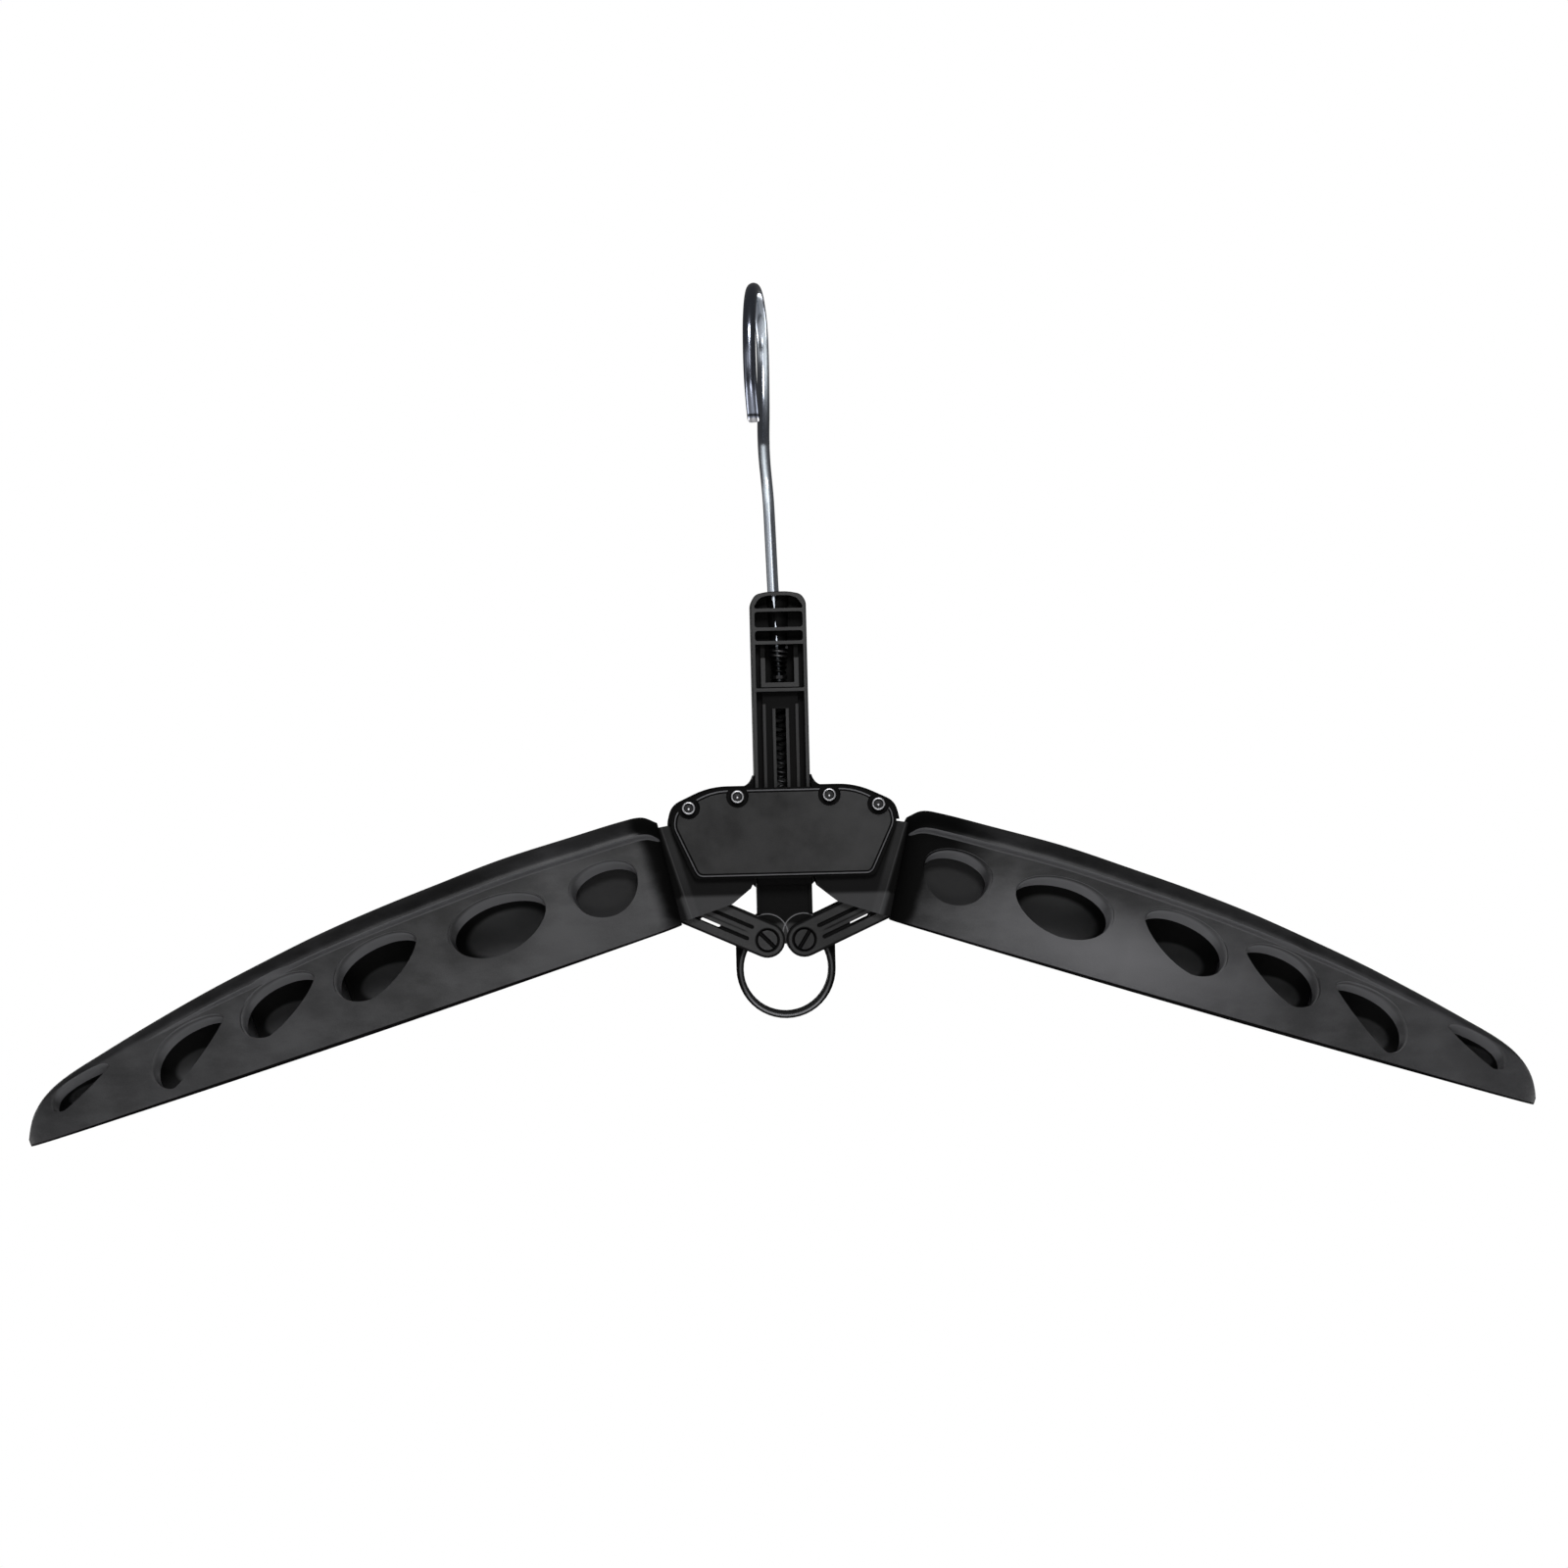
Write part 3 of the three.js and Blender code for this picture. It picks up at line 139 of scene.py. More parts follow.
# The hook and springs, their heights above the datum
WIRE_RADIUS = 1.9 * MM
ROD_FOOT_RADIUS = 1.2 * MM
ROD_TOP = 69.5 * MM
ROD_LEAN = math.radians(2.8)
ROD_LEAN_HEIGHT = 60 * MM
LOOP_RADIUS = 20.1 * MM
LOOP_TURN = math.radians(8.2)
LOOP_THICKER = 0.2 * MM
LOOP_STRAIGHTER = math.radians(1.5)
LOOP_STRAIGHT_HEIGHT = 136 * MM
BEND_HEIGHTS = np.array([0, 86, 97, 106, 117, 124, 130, 136, 142, 152, 160, 170, 180, 190]) * MM
BEND_SHIFTS = np.array([0, 0, 0.2, 0.4, 0.58, 0.4, -0.1, -0.6, -0.9, -0.95, -0.85, -0.6, -0.35, -0.2]) * MM
SPRING_WIRE_RADIUS = 0.45 * MM
MAIN_SPRING_TOP = 47.5 * MM

# For the materials, in millimetres from the stem's axis and above the datum
TIP_HEIGHT = 143
RING_HEIGHT = -38.5
LUG_HEIGHT = -27.2
PIVOT_ASIDE = 6.1
PIVOT_HEIGHT = -28.7


def length(name, description, default):
    return FloatProperty(name=name, description=description, default=default, unit="LENGTH")


def paint(name, description, default):
    return FloatVectorProperty(
        name=name, description=description, default=default, subtype="COLOR", min=0, max=1
    )


class HangerSizes(bpy.types.PropertyGroup):
    """Sizes that a user would change."""

    edge_round: length("Edge rounding", "Radius of the moulded edges", 0.28 * MM)
    leaf_lip: length("Hole lip", "Radius of the rounded lip of each leaf-shaped hole", 0.7 * MM)
    sink_depth: length("Sink marks", "Depth of the faint dents over the arms' inner ribs", 0.12 * MM)


class HangerFinishes(bpy.types.PropertyGroup):
    """Colours that a user would change."""

    arm_colour: paint("Arms", "Colour of the arms' plastic", (0.016, 0.016, 0.017))
    body_colour: paint("Body", "Colour of the housing's, stem's and links' plastic", (0.009, 0.009, 0.0095))
    wire_colour: paint("Hook", "Colour of the hook's steel wire", (0.5, 0.54, 0.6))


# Materials


class Signal:
    """One output of a shader node. Arithmetic on it adds Math nodes to its tree."""

    def __init__(self, shade, socket):
        self.shade = shade
        self.socket = socket

    def _math(self, operation, *others):
        values = dict(enumerate((self, *others)))
        return self.shade.node("ShaderNodeMath", {"operation": operation}, values)

    __add__ = __radd__ = partialmethod(_math, "ADD")
    __sub__ = partialmethod(_math, "SUBTRACT")
    __mul__ = __rmul__ = partialmethod(_math, "MULTIPLY")
    __truediv__ = partialmethod(_math, "DIVIDE")
    __pow__ = partialmethod(_math, "POWER")
    __abs__ = partialmethod(_math, "ABSOLUTE")
    at_most = partialmethod(_math, "MINIMUM")

    def __rsub__(self, other):
        return self.shade.node("ShaderNodeMath", {"operation": "SUBTRACT"}, {0: other, 1: self})

    def bell(self, centre, width):
        """exp(-((value - centre) / width) squared)"""
        away = (self - centre) / width
        return (away * away * -1)._math("EXPONENT")

    def ramp(self, low, high, to_low=0.0, to_high=1.0):
        """A smooth step from to_low at low to to_high at high."""
        return self.shade.node(
            "ShaderNodeMapRange",
            {"interpolation_type": "SMOOTHSTEP"},
            {"Value": self, "From Min": low, "From Max": high, "To Min": to_low, "To Max": to_high},
        )


class Shade:
    """A material's node tree, built by name."""

    def __init__(self, name):
        self.material = bpy.data.materials.new(name)
        self.material.use_nodes = True
        self.tree = self.material.node_tree
        self.surface = self.tree.nodes["Principled BSDF"]

    def node(self, kind, settings=None, values=None, output=0):
        made = self.tree.nodes.new(kind)
        for name, value in (settings or {}).items():
            setattr(made, name, value)
        for key, value in (values or {}).items():
            self.feed(made.inputs[key], value)
        return Signal(self, made.outputs[output])

    def feed(self, socket, value):
        if isinstance(value, Signal):
            self.tree.links.new(value.socket, socket)
        else:
            socket.default_value = value

    def place(self):
        """Object coordinates, which are the hanger's own frame in metres."""
        return self.node("ShaderNodeTexCoord", output="Object")

    def own_place(self):
        """Millimetres right of the stem's axis, back and above the datum."""
        x, y, z = self.split(self.place())
        return (x - STEM_X) / MM, y / MM, (z - DATUM) / MM

    def facing(self):
        """The parts of the surface's own direction along X, Y and Z."""
        return self.split(self.node("ShaderNodeTexCoord", output="Normal"))

    def split(self, vector):
        parts = self.tree.nodes.new("ShaderNodeSeparateXYZ")
        self.feed(parts.inputs[0], vector)
        return [Signal(self, socket) for socket in parts.outputs]

    def stretched(self, vector, scale):
        return self.node("ShaderNodeMapping", {}, {"Vector": vector, "Scale": scale})

    def noise(self, vector, scale, detail=2.0, roughness=0.5):
        values = {"Vector": vector, "Scale": scale, "Detail": detail, "Roughness": roughness}
        return self.node("ShaderNodeTexNoise", {}, values)

    def blend(self, factor, first, second):
        """A mix of two colours."""
        values = {0: factor, 6: first, 7: second}
        return self.node("ShaderNodeMix", {"data_type": "RGBA"}, values, output=2)

    def bump(self, height, strength, distance):
        values = {"Strength": strength, "Distance": distance, "Height": height}
        return self.node("ShaderNodeBump", {}, values)

    def set(self, **values):
        for key, value in values.items():
            self.feed(self.surface.inputs[key.replace("_", " ")], value)
        return self.material


def mixed(tree, share, first, second, output):
    """Feeds the output node with a mix of two shaders' outputs."""
    mix = tree.nodes.new("ShaderNodeMixShader")
    for socket, source in zip(mix.inputs, (share, first, second)):
        tree.links.new(source, socket)
    tree.links.new(mix.outputs[0], tree.nodes[output].inputs[0])


def recessed(shade, share):
    """Mixes a dull black into the finish by the share, as where little light gets in."""
    black = shade.tree.nodes.new("ShaderNodeBsdfPrincipled")
    black.inputs["Base Color"].default_value = (0.0015, 0.0015, 0.0015, 1)
    black.inputs["Roughness"].default_value = 0.7
    black.inputs["Specular IOR Level"].default_value = 0.03
    mixed(shade.tree, share.socket, shade.surface.outputs[0], black.outputs[0], "Material Output")


def grey(colour, factor):
    return tuple(min(1, channel * factor) for channel in colour) + (1,)


def squared(a, b):
    """The square of the length whose parts at right angles are a and b."""
    return a * a + b * b


def middle(node):
    """A CAD node's middle, in millimetres right of the stem's axis and above the datum."""
    low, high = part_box(node)
    return ((low.x + high.x) / 2 - STEM_X) / MM, ((low.z + high.z) / 2 - DATUM) / MM


def leaf_patches():
    """For each leaf-shaped hole, the part of the rear wall's inside that light reaches: its middle's
    distance from the stem's axis, its height above the datum, its two radii, all in millimetres, and how
    well it is lit. A line from the stage camera through the hole's middle meets that wall further out and
    lower."""
    patches = []
    for number, (inner, top, outer, bottom, _) in enumerate(LEAVES):
        inwards, down, wide, high, lit = WIDE_PATCH if number < 2 else NARROW_PATCH
        reach = (outer[0] - inner[0]) / 2 * ARM_LENGTH
        rise = (top[1] - bottom[1]) / 2 * ARM_HEIGHT
        u = (inner[0] + outer[0]) / 2 * ARM_LENGTH - inwards * reach
        v = (top[1] + bottom[1]) / 2 * ARM_HEIGHT - down * rise
        half = float(arm_half_depth(np.array(u)))
        x = ARM_ROOT_X + u * math.cos(ARM_SLOPE) + v * math.sin(ARM_SLOPE)
        z = ARM_ROOT_Z - u * math.sin(ARM_SLOPE) + v * math.cos(ARM_SLOPE)
        further = (VIEW_DISTANCE + half - ARM_WALL) / (VIEW_DISTANCE - half + CREASE_INSET)
        height = VIEW_HEIGHT + (z - VIEW_HEIGHT) * further
        patches.append((x * further / MM, height / MM, reach * wide / MM, rise * high / MM, lit))
    return patches


def arm_axes(along, up):
    """Distances outwards and up, turned into the arm's u and v."""
    u = along * math.cos(ARM_SLOPE) - up * math.sin(ARM_SLOPE)
    return u, along * math.sin(ARM_SLOPE) + up * math.cos(ARM_SLOPE)


def arm_material(colour):
    """Satin plastic with a fine grain, cloudy gloss and faint sink marks over the inner ribs. It is dull with
    painted
    shade where little light gets in: inside, away from the holes' painted lit patches, on the neck's plates,
    along the hem, round the inner end and on the roll. More faintly, it is dull in cloudy spots. The holes'
    upper lips have a painted highlight, the right arm's front a patch of painted sheen, and the flank's lower
    inner part is lighter with painted sheen."""
    shade = Shade("arm_plastic")
    place = shade.place()
    across, y, up = shade.own_place()
    facing = shade.facing()
    out = abs(across)
    u, v = arm_axes(out - ARM_ROOT_X / MM, up - ARM_ROOT_Z / MM)
    sinks = sum(u.bell(share * ARM_LENGTH / MM, SINK_WIDTH / MM) for share in WEB_SHARES)
    cloud = shade.noise(place, 22.0, 3.0)
    haze = shade.noise(shade.stretched(place, (1.0, 1.0, 2.2)), 60.0, 4.0, 0.6)
    grain = shade.noise(place, 2600.0, 2.0)
    scuffs = shade.noise(shade.stretched(place, (9.0, 9.0, 60.0)), 18.0, 4.0, 0.7).ramp(0.66, 0.78)

    right = across.ramp(-1, 1)
    low = v.ramp(30, 0.0)
    inner = u.ramp(80, 18) * v.ramp(27, 8) * (1 - right * 0.7)
    inside = y.ramp(1, 4) * facing[1].ramp(-0.3, -0.7)
    # Painted sheen on the right arm's front, a painted highlight on the holes' upper lips, and the roll,
    # which gets painted shade
    sheen = u.bell(76, 42) * v.bell(9, 15) * right * (1 - inside) * y.ramp(0.0, -4)
    lip = facing[2].ramp(-0.25, -0.5) * v.ramp(4, 6) * y.ramp(-6, -8)
    roll = facing[2].ramp(0.12, 0.7) * y.ramp(2, -2)
    lit = 0.0
    for patch_out, height, reach, rise, share in leaf_patches():
        a, b = arm_axes(out - patch_out, up - height)
        lit = squared(a / reach, b / rise).ramp(1.1, 0.7) * share + lit

    # Painted shade on the neck's plates, under the cover, beside the arm's end and inside the arm; less of it
    # along a ridge, as a painted highlight, and on a strip
    plates = abs(y).ramp(10.4, 9.6) * u.ramp(38, 34) * v.ramp(36, 33)
    sheltered = up.ramp(-14.4, -12.8)
    groove = u.ramp(-3.2, -1.6) * u.ramp(0.6, 0.2)
    ridge = u.bell(-3.8, 0.34) * v.ramp(0.0, 30, 0.35, 1.0)
    strip = u.ramp(-7.0, -5.6) * u.ramp(-4.0, -4.5) * v.ramp(4, 26, 0.3, 1.0)
    hidden = sheltered * 0.5 + 0.44 + groove * 0.5 - ridge * 0.62 - strip * 0.3
    within = u.ramp(3, 5)

    # Painted shade on the flank: round the inner end, on the right arm's inner end and upper part, along the
    # hem and on the roll
    rounding = u.ramp(8.5, 0.0) * v.ramp(-2, 6, 0.5, 1.0) * 0.72
    upper = v.bell(28, 8) * right * u.ramp(150, 90) * 0.3 * (1 - roll)
    hem = v.ramp(0.75, 0.25) * 0.92
    flank = rounding + u.ramp(32, 4) * right * 0.42 + upper + hem + roll * 0.3
    cloudy = (1 - cloud.ramp(0.32, 0.68)) * 0.16 + (1 - haze.ramp(0.35, 0.65)) * 0.12 + (1 - grain) * 0.12
    flank = (flank.ramp(0, 1) + cloudy * (1 - sheen * 0.5)).ramp(0, 1)
    outside = (1 - plates) * (1 - inside) * (1 - lip)
    necks = plates * ((1 - within) * hidden + within * 0.64)
    recessed(shade, necks + outside * flank + inside * (1 - lit) * 0.88)

    clouds = cloud.ramp(0.3, 0.7) * 0.42 + haze.ramp(0.3, 0.7) * 0.26 + grain * 0.22
    # low and inner lighten the lower, inner flank as painted sheen; lit lightens the holes' patches as
    # painted light
    tone = clouds + low * 0.35 + sinks * 0.16 + scuffs * 0.2 + inner * 0.4 + inside * lit * 0.55
    base = shade.blend(tone, grey(colour, 0.4), grey(colour, 1.95))
    # The painted sheen and the lips' painted highlight
    base = shade.blend(sheen + lip * 0.7, base, grey(colour, 4.5))
    rough = 0.5 + (cloud - 0.5) * 0.12 + (haze - 0.5) * 0.1 - sinks * 0.04 + scuffs * 0.05
    normal = shade.bump(grain * 0.7 + haze * 0.3, 0.5, 0.05 * MM)
    return shade.set(Base_Color=base, Roughness=rough, Normal=normal, Specular_IOR_Level=0.3)


def stem_shading(shade, base, colour, depth):
    """Darkens the stem with painted shade from the depth towards its middle plane, as in its pockets, and
    between the housing and the lugs. The finger ring's lower part has painted light along its middle and
    painted shade at its rims, and an arc above each lug has a painted highlight. Gives the new base colour."""
    across, y, up = shade.own_place()
    bore = abs(across).ramp(2.9, 2.5) * up.ramp(50, 46)
    deep = abs(y).ramp(depth, depth * 0.64) * up.ramp(-25, -22) * (1 - bore * 0.3)
    under = up.ramp(-7.5, -8.5) * up.ramp(-24, -21)

    above_ring = up - RING_HEIGHT
    ring = squared(across, above_ring) ** 0.5
    low = above_ring.ramp(9, 6) * ring.ramp(13.6, 13.9)
    foot = above_ring.ramp(-4, -13)
    inner_rim = ring.ramp(15.0, 14.7) + foot * ring.ramp(15.35, 15.05)
    outer_rim = ring.ramp(15.65, 15.85) + (1 - foot) * ring.ramp(15.35, 15.6)
    rims = inner_rim.ramp(0, 1) + outer_rim
    lit = shade.blend(foot, grey(colour, 2.0), grey(colour, 14.0))
    base = shade.blend(low * ring.bell(15.4, 0.6), base, lit)

    above_lug = up - LUG_HEIGHT
    lugs = [squared(across - side * PIVOT_ASIDE, above_lug) ** 0.5 for side in (-1, 1)]
    arcs = sum(lug.bell(7.0, 0.22) for lug in lugs)
    arcs = arcs * up.ramp(-28, -26) * up.ramp(-18, -20)
    recessed(shade, (deep + under).ramp(0, 1) * 0.92 * (1 - arcs) + low * rims * 0.88)
    return shade.blend(arcs, base, grey(colour, 11.0))


def link_shading(shade, cloud, grooves):
    """Darkens the links and their screws with painted shade between the two depths, in a ring round each
    pivot, on the edges and beside the ribs, and darkens them in cloudy spots. In a link's own frame along
    runs from its inner pivot to its outer pin, and aside is the distance from that line."""
    across, y, up = shade.own_place()
    rise = up - PIVOT_HEIGHT
    pivot = squared(abs(across) - PIVOT_ASIDE, rise) ** 0.5
    gap = pivot.ramp(3.2, 3.4) * pivot.ramp(4.3, 3.9)
    edge = abs(shade.facing()[1]).ramp(0.985, 0.9)
    ribs = 0.0
    for side, pin in ((-1, "left_link_pin"), (1, "right_link_pin")):
        far_x, far_z = middle(pin)
        far_x = far_x * side - PIVOT_ASIDE
        far_z -= PIVOT_HEIGHT
        span = math.hypot(far_x, far_z)
        out = across * side - PIVOT_ASIDE
        along = out * (far_x / span) + rise * (far_z / span)
        aside = abs(rise * (far_x / span) - out * (far_z / span))
        rim = squared(along.at_most(0.0), aside) ** 0.5
        lines = rim.ramp(4.9, 5.4) * 0.85
        lines = lines + aside.bell(0.0, 0.3) * along.ramp(6, 9) * 0.5
        lines = lines - rim.bell(4.45, 0.2) * along.ramp(6, 2) * 0.2
        ribs = lines * (across * side).ramp(-0.2, 0.2) + ribs
    dark = abs(y).ramp(*grooves) + gap + edge + ribs + 0.14 + (1 - cloud.ramp(0.35, 0.65)) * 0.2
    recessed(shade, dark.ramp(0, 1) * 0.93)


def cover_shading(shade, base, colour, cloud, grain, notches):
    """Darkens with painted shade the cover's notches round their middles, the skirt behind its raised panel
    and its left side, and darkens it in cloudy spots. The panel's bevel has a painted highlight, with a dark
    line of painted shade inside it.
    Gives the new base colour."""
    across, y, up = shade.own_place()
    dark = sum(squared(across - x, up - z).ramp(3.6**2, 3.2**2) for x, z in notches)
    dark = dark * y.ramp(-13.4, -13.1) * y.ramp(-2, -6)
    # A painted highlight on the panel's bevel, and a line of painted shade inside it
    bevel_highlight = y.ramp(-12.4, -12.7) * y.ramp(-13.35, -13.05)
    line = y.ramp(-13.25, -13.4) * y.ramp(-13.8, -13.66)
    skirt = y.ramp(-12.7, -12.45) * y.ramp(-3, -7)
    shaded = across.ramp(30, -4) * 0.24 + (1 - cloud.ramp(0.35, 0.65)) * 0.22 + (1 - grain) * 0.14
    recessed(shade, (dark + line + skirt * 0.8 + shaded - bevel_highlight * 0.2).ramp(0, 1) * 0.95)
    return shade.blend(bevel_highlight, base, grey(colour, 12.0))


def body_material(name, colour, gloss=0.0, depth=None, grooves=(), notches=()):
    """Denser satin plastic: fine grain, small cloudy changes of gloss and thin handling marks. With a depth
    it is shaded as the stem is, with grooves as the links, and with notches as the cover."""
    shade = Shade(name)
    place = shade.place()
    cloud = shade.noise(place, 38.0, 4.0, 0.6)
    grain = shade.noise(place, 2400.0, 2.0)
    marks = shade.noise(shade.stretched(place, (30.0, 30.0, 160.0)), 9.0, 5.0, 0.7).ramp(0.62, 0.75)
    tone = cloud.ramp(0.3, 0.7) * 0.6 + marks * 0.2 + grain * 0.3
    base = shade.blend(tone, grey(colour, 0.45), grey(colour, 1.5))
    if depth:
        base = stem_shading(shade, base, colour, depth)
    if grooves:
        link_shading(shade, cloud, grooves)
    if notches:
        base = cover_shading(shade, base, colour, cloud, grain, notches)
    rough = 0.46 - gloss + (cloud - 0.5) * 0.14 + marks * 0.06
    normal = shade.bump(grain, 0.3, 0.03 * MM)
    return shade.set(Base_Color=base, Roughness=rough, Normal=normal, Specular_IOR_Level=0.26)


def wire_material(colour):
    """Drawn steel wire with fine lines along it and a little tarnish. The loop has a darker, bluish painted
    reflection, but for a lighter painted streak at the back, and its cut tip is lighter below a dark ring.
    Milky bands down the rod's front and the loop's rear limb stand for reflections in the photograph. The
    foot in the stem is dark with painted shade."""
    shade = Shade("hook_steel")
    wrap = shade.node("ShaderNodeTexCoord", output="UV")
    place = shade.place()
    lines = shade.noise(shade.stretched(wrap, (60.0, 1.5, 1.0)), 3.0, 3.0, 0.6)
    tarnish = shade.noise(place, 90.0, 4.0, 0.6)
    spots = shade.noise(place, 420.0, 3.0).ramp(0.62, 0.75)
    base = shade.blend(tarnish * 0.7 + spots * 0.3, grey(colour, 1.15), grey(colour, 0.8))
    _, y, up = shade.own_place()
    facing = shade.facing()
    front = y.ramp(-3, -10)
    rear = y.ramp(0.0, 8)
    # A painted dark bluish reflection on the loop, less of it at a streak on the rear limb
    loop = up.ramp(134, 141) * (0.55 + front * 0.25) * (1 - up.bell(170, 7) * rear)
    base = shade.blend(loop, base, (0.11, 0.12, 0.165, 1))
    tip = front * up.ramp(TIP_HEIGHT, TIP_HEIGHT - 0.4)
    base = shade.blend(tip, base, (0.4, 0.4, 0.42, 1))
    # Painted reflections: a milky band down the rod's front and one on the loop's rear limb
    core = up.ramp(137.5, 135.5) * up.ramp(110, 120)
    core = core * facing[0].bell(-0.15, 0.4) * facing[1].ramp(-0.3, -0.7)
    milky = core + up.bell(167, 14) * rear * facing[0].bell(0.4, 0.3)
    base = shade.blend(milky, base, (0.72, 0.8, 0.86, 1))
    cut = front * up.bell(TIP_HEIGHT + 0.7, 0.5)
    # Painted shade on the foot inside the stem
    foot = up.ramp(ROD_TOP / MM - 0.1, ROD_TOP / MM - 1.3)
    recessed(shade, (cut + foot).ramp(0, 1) * 0.94)
    rough = 0.17 + lines * 0.06 + spots * 0.08
    normal = shade.bump(lines, 0.06, 0.01 * MM)
    return shade.set(Base_Color=base, Roughness=rough, Metallic=1 - milky * 0.85, Normal=normal)


def steel_material(name, colour, roughness, shaded_heights=None, sockets=()):
    """Plain steel with faint mottling, darkened with painted shade at the first of two given heights and
    plain at the second.
    It is dark with painted shade in and round each socket, given as by middle(), but for a painted glint on
    the socket's floor."""
    shade = Shade(name)
    place = shade.place()
    mottle = shade.noise(place, 600.0, 3.0, 0.6)
    dirt = shade.noise(place, 160.0, 3.0).ramp(0.5, 0.8)
    base = shade.blend(mottle * 0.5 + dirt * 0.5, grey(colour, 1.2), grey(colour, 0.45))
    across, _, up = shade.own_place()
    # Painted shade, full at the first height and gone at the second
    if shaded_heights:
        base = shade.blend(up.ramp(*shaded_heights), grey(colour, 0.06), base)
    if sockets:
        # Painted shade in and round each socket, with a painted glint left on its floor
        dark = 0.0
        for x, z in sockets:
            away = squared(across - x, up - z)
            floor = squared(across - x, up - z + 0.3).ramp(0.2**2, 0.36**2)
            outside = away.ramp(2.0**2, 2.16**2) * away.ramp(3.2**2, 3.1**2)
            dark = away.ramp(1.72**2, 1.58**2) * floor + outside + dark
        recessed(shade, dark * 0.97)
    rough = roughness + mottle * 0.12 + dirt * 0.15
    normal = shade.bump(mottle, 0.2, 0.02 * MM)
    return shade.set(Base_Color=base, Roughness=rough, Metallic=1.0, Normal=normal)


# Meshes


def mesh_object(name, vertices, faces, uv=None):
    mesh = bpy.data.meshes.new(name)
    mesh.from_pydata(vertices.tolist(), [], faces)
    if uv is not None:
        layer = mesh.uv_layers.new(name="wrap")
        corners = np.zeros(len(mesh.loops), dtype=np.int32)
        mesh.loops.foreach_get("vertex_index", corners)
        layer.data.foreach_set("uv", uv[corners].astype(np.float32).ravel())
    mesh.update()
    made = bpy.data.objects.new(name, mesh)
    bpy.context.scene.collection.objects.link(made)
    return made


def skin_faces(rings, around):
    """Quads between rings of equal count, each joined to the next one, and a polygon over each end."""
    ring, step = np.meshgrid(np.arange(rings - 1), np.arange(around), indexing="ij")
    first = ring * around + step
    second = ring * around + (step + 1) % around
    quads = np.stack([first, second, second + around, first + around], axis=-1).reshape(-1, 4)
    ends = [list(range(around))[::-1], list(range((rings - 1) * around, rings * around))]
    return quads.tolist() + ends


def outward(made):
    """Turns the object inside out if its signed volume, the sum of its faces' cones, is negative."""
    mesh = made.data
    mesh.calc_loop_triangles()
    corners = np.zeros(len(mesh.loop_triangles) * 3, dtype=np.int32)
    mesh.loop_triangles.foreach_get("vertices", corners)
    places = np.zeros(len(mesh.vertices) * 3)
    mesh.vertices.foreach_get("co", places)
    a, b, c = places.reshape(-1, 3)[corners.reshape(-1, 3)].transpose(1, 0, 2)
    if np.einsum("ij,ij->i", a, np.cross(b, c)).sum() < 0:
        mesh.flip_normals()
    return made


def lofted(name, rings, uv=None):
    """A capped solid through rings of equal count, its faces turned outwards."""
    rings = np.asarray(rings)
    return outward(mesh_object(name, rings.reshape(-1, 3), skin_faces(*rings.shape[:2]), uv))


def upright(x, y, z):
    """Points in a plane of constant y."""
    return np.stack([x, np.full_like(x, y), z], axis=-1)


def modify(made, kind, **settings):
    modifier = made.modifiers.new(kind.lower(), kind)
    for name, value in settings.items():
        setattr(modifier, name, value)


def carved(solid, cutters, operation="DIFFERENCE"):
    """The solid with each cutter taken away or joined on. The cutters are removed."""
    for cutter in cutters:
        modify(solid, "BOOLEAN", operation=operation, solver="EXACT", object=cutter)
    graph = bpy.context.evaluated_depsgraph_get()
    mesh = bpy.data.meshes.new_from_object(solid.evaluated_get(graph))
    solid.modifiers.clear()
    solid.data = mesh
    for cutter in cutters:
        bpy.data.objects.remove(cutter)
    return solid


def smooth(made, degrees):
    """Smooth shading, with a hard edge wherever two faces meet at more than the angle."""
    made.data.shade_smooth()
    made.data.set_sharp_from_angle(angle=math.radians(degrees))
    return made


def finish_piece(made, material, body, slot, *nodes):
    made.data.materials.clear()
    made.data.materials.append(material)
    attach(made, body)
    if nodes:
        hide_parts(*nodes)
    return made


def smooth_table(places, values, at):
    """A cubic through a table's points, its slope at each the mean slope across its neighbours."""
    places = np.asarray(places, float)
    values = np.asarray(values, float)
    last = len(places) - 1
    lower = np.clip(np.arange(len(places)) - 1, 0, last)
    upper = np.clip(np.arange(len(places)) + 1, 0, last)
    slopes = (values[upper] - values[lower]) / (places[upper] - places[lower])
    i = np.clip(np.searchsorted(places, at, side="left") - 1, 0, last - 1)
    span = places[i + 1] - places[i]
    t = np.clip((at - places[i]) / span, 0, 1)
    rise = t * t * (3 - 2 * t)
    start = t * (1 - t) ** 2 * span * slopes[i]
    end = t * t * (t - 1) * span * slopes[i + 1]
    return values[i] + (values[i + 1] - values[i]) * rise + start + end


def arm_top(u):
    return ARM_HEIGHT * smooth_table(TOP_LENGTH_SHARES, TOP_HEIGHT_SHARES, u / ARM_LENGTH)


def arm_half_depth(u):
    """Rounded at the inner end, slowly tapering, then a quarter ellipse to the nose."""
    share = u / ARM_LENGTH
    nose = DEPTH_LENGTH_SHARES[-1]
    body = ARM_HALF_DEPTH * smooth_table(DEPTH_LENGTH_SHARES, DEPTH_SHARES, np.minimum(share, nose))
    back = np.clip(1 - u / ARM_END_ROUND, 0, 1)
    inner = ARM_END_HALF_DEPTH + (body - ARM_END_HALF_DEPTH) * np.sqrt(1 - back**2)
    on = np.clip((share - nose) / (1 - nose), 0, 1)
    outer = np.maximum(body * np.sqrt(1 - on**2), NOSE_HALF_DEPTH)
    return np.where(u < ARM_END_ROUND, inner, np.where(share > nose, outer, body))


def crease_inset(u):
    t = np.clip((u / ARM_LENGTH - CREASE_FADE[0]) / (CREASE_FADE[1] - CREASE_FADE[0]), 0, 1)
    return CREASE_INSET * (1 - t * t * (3 - 2 * t))


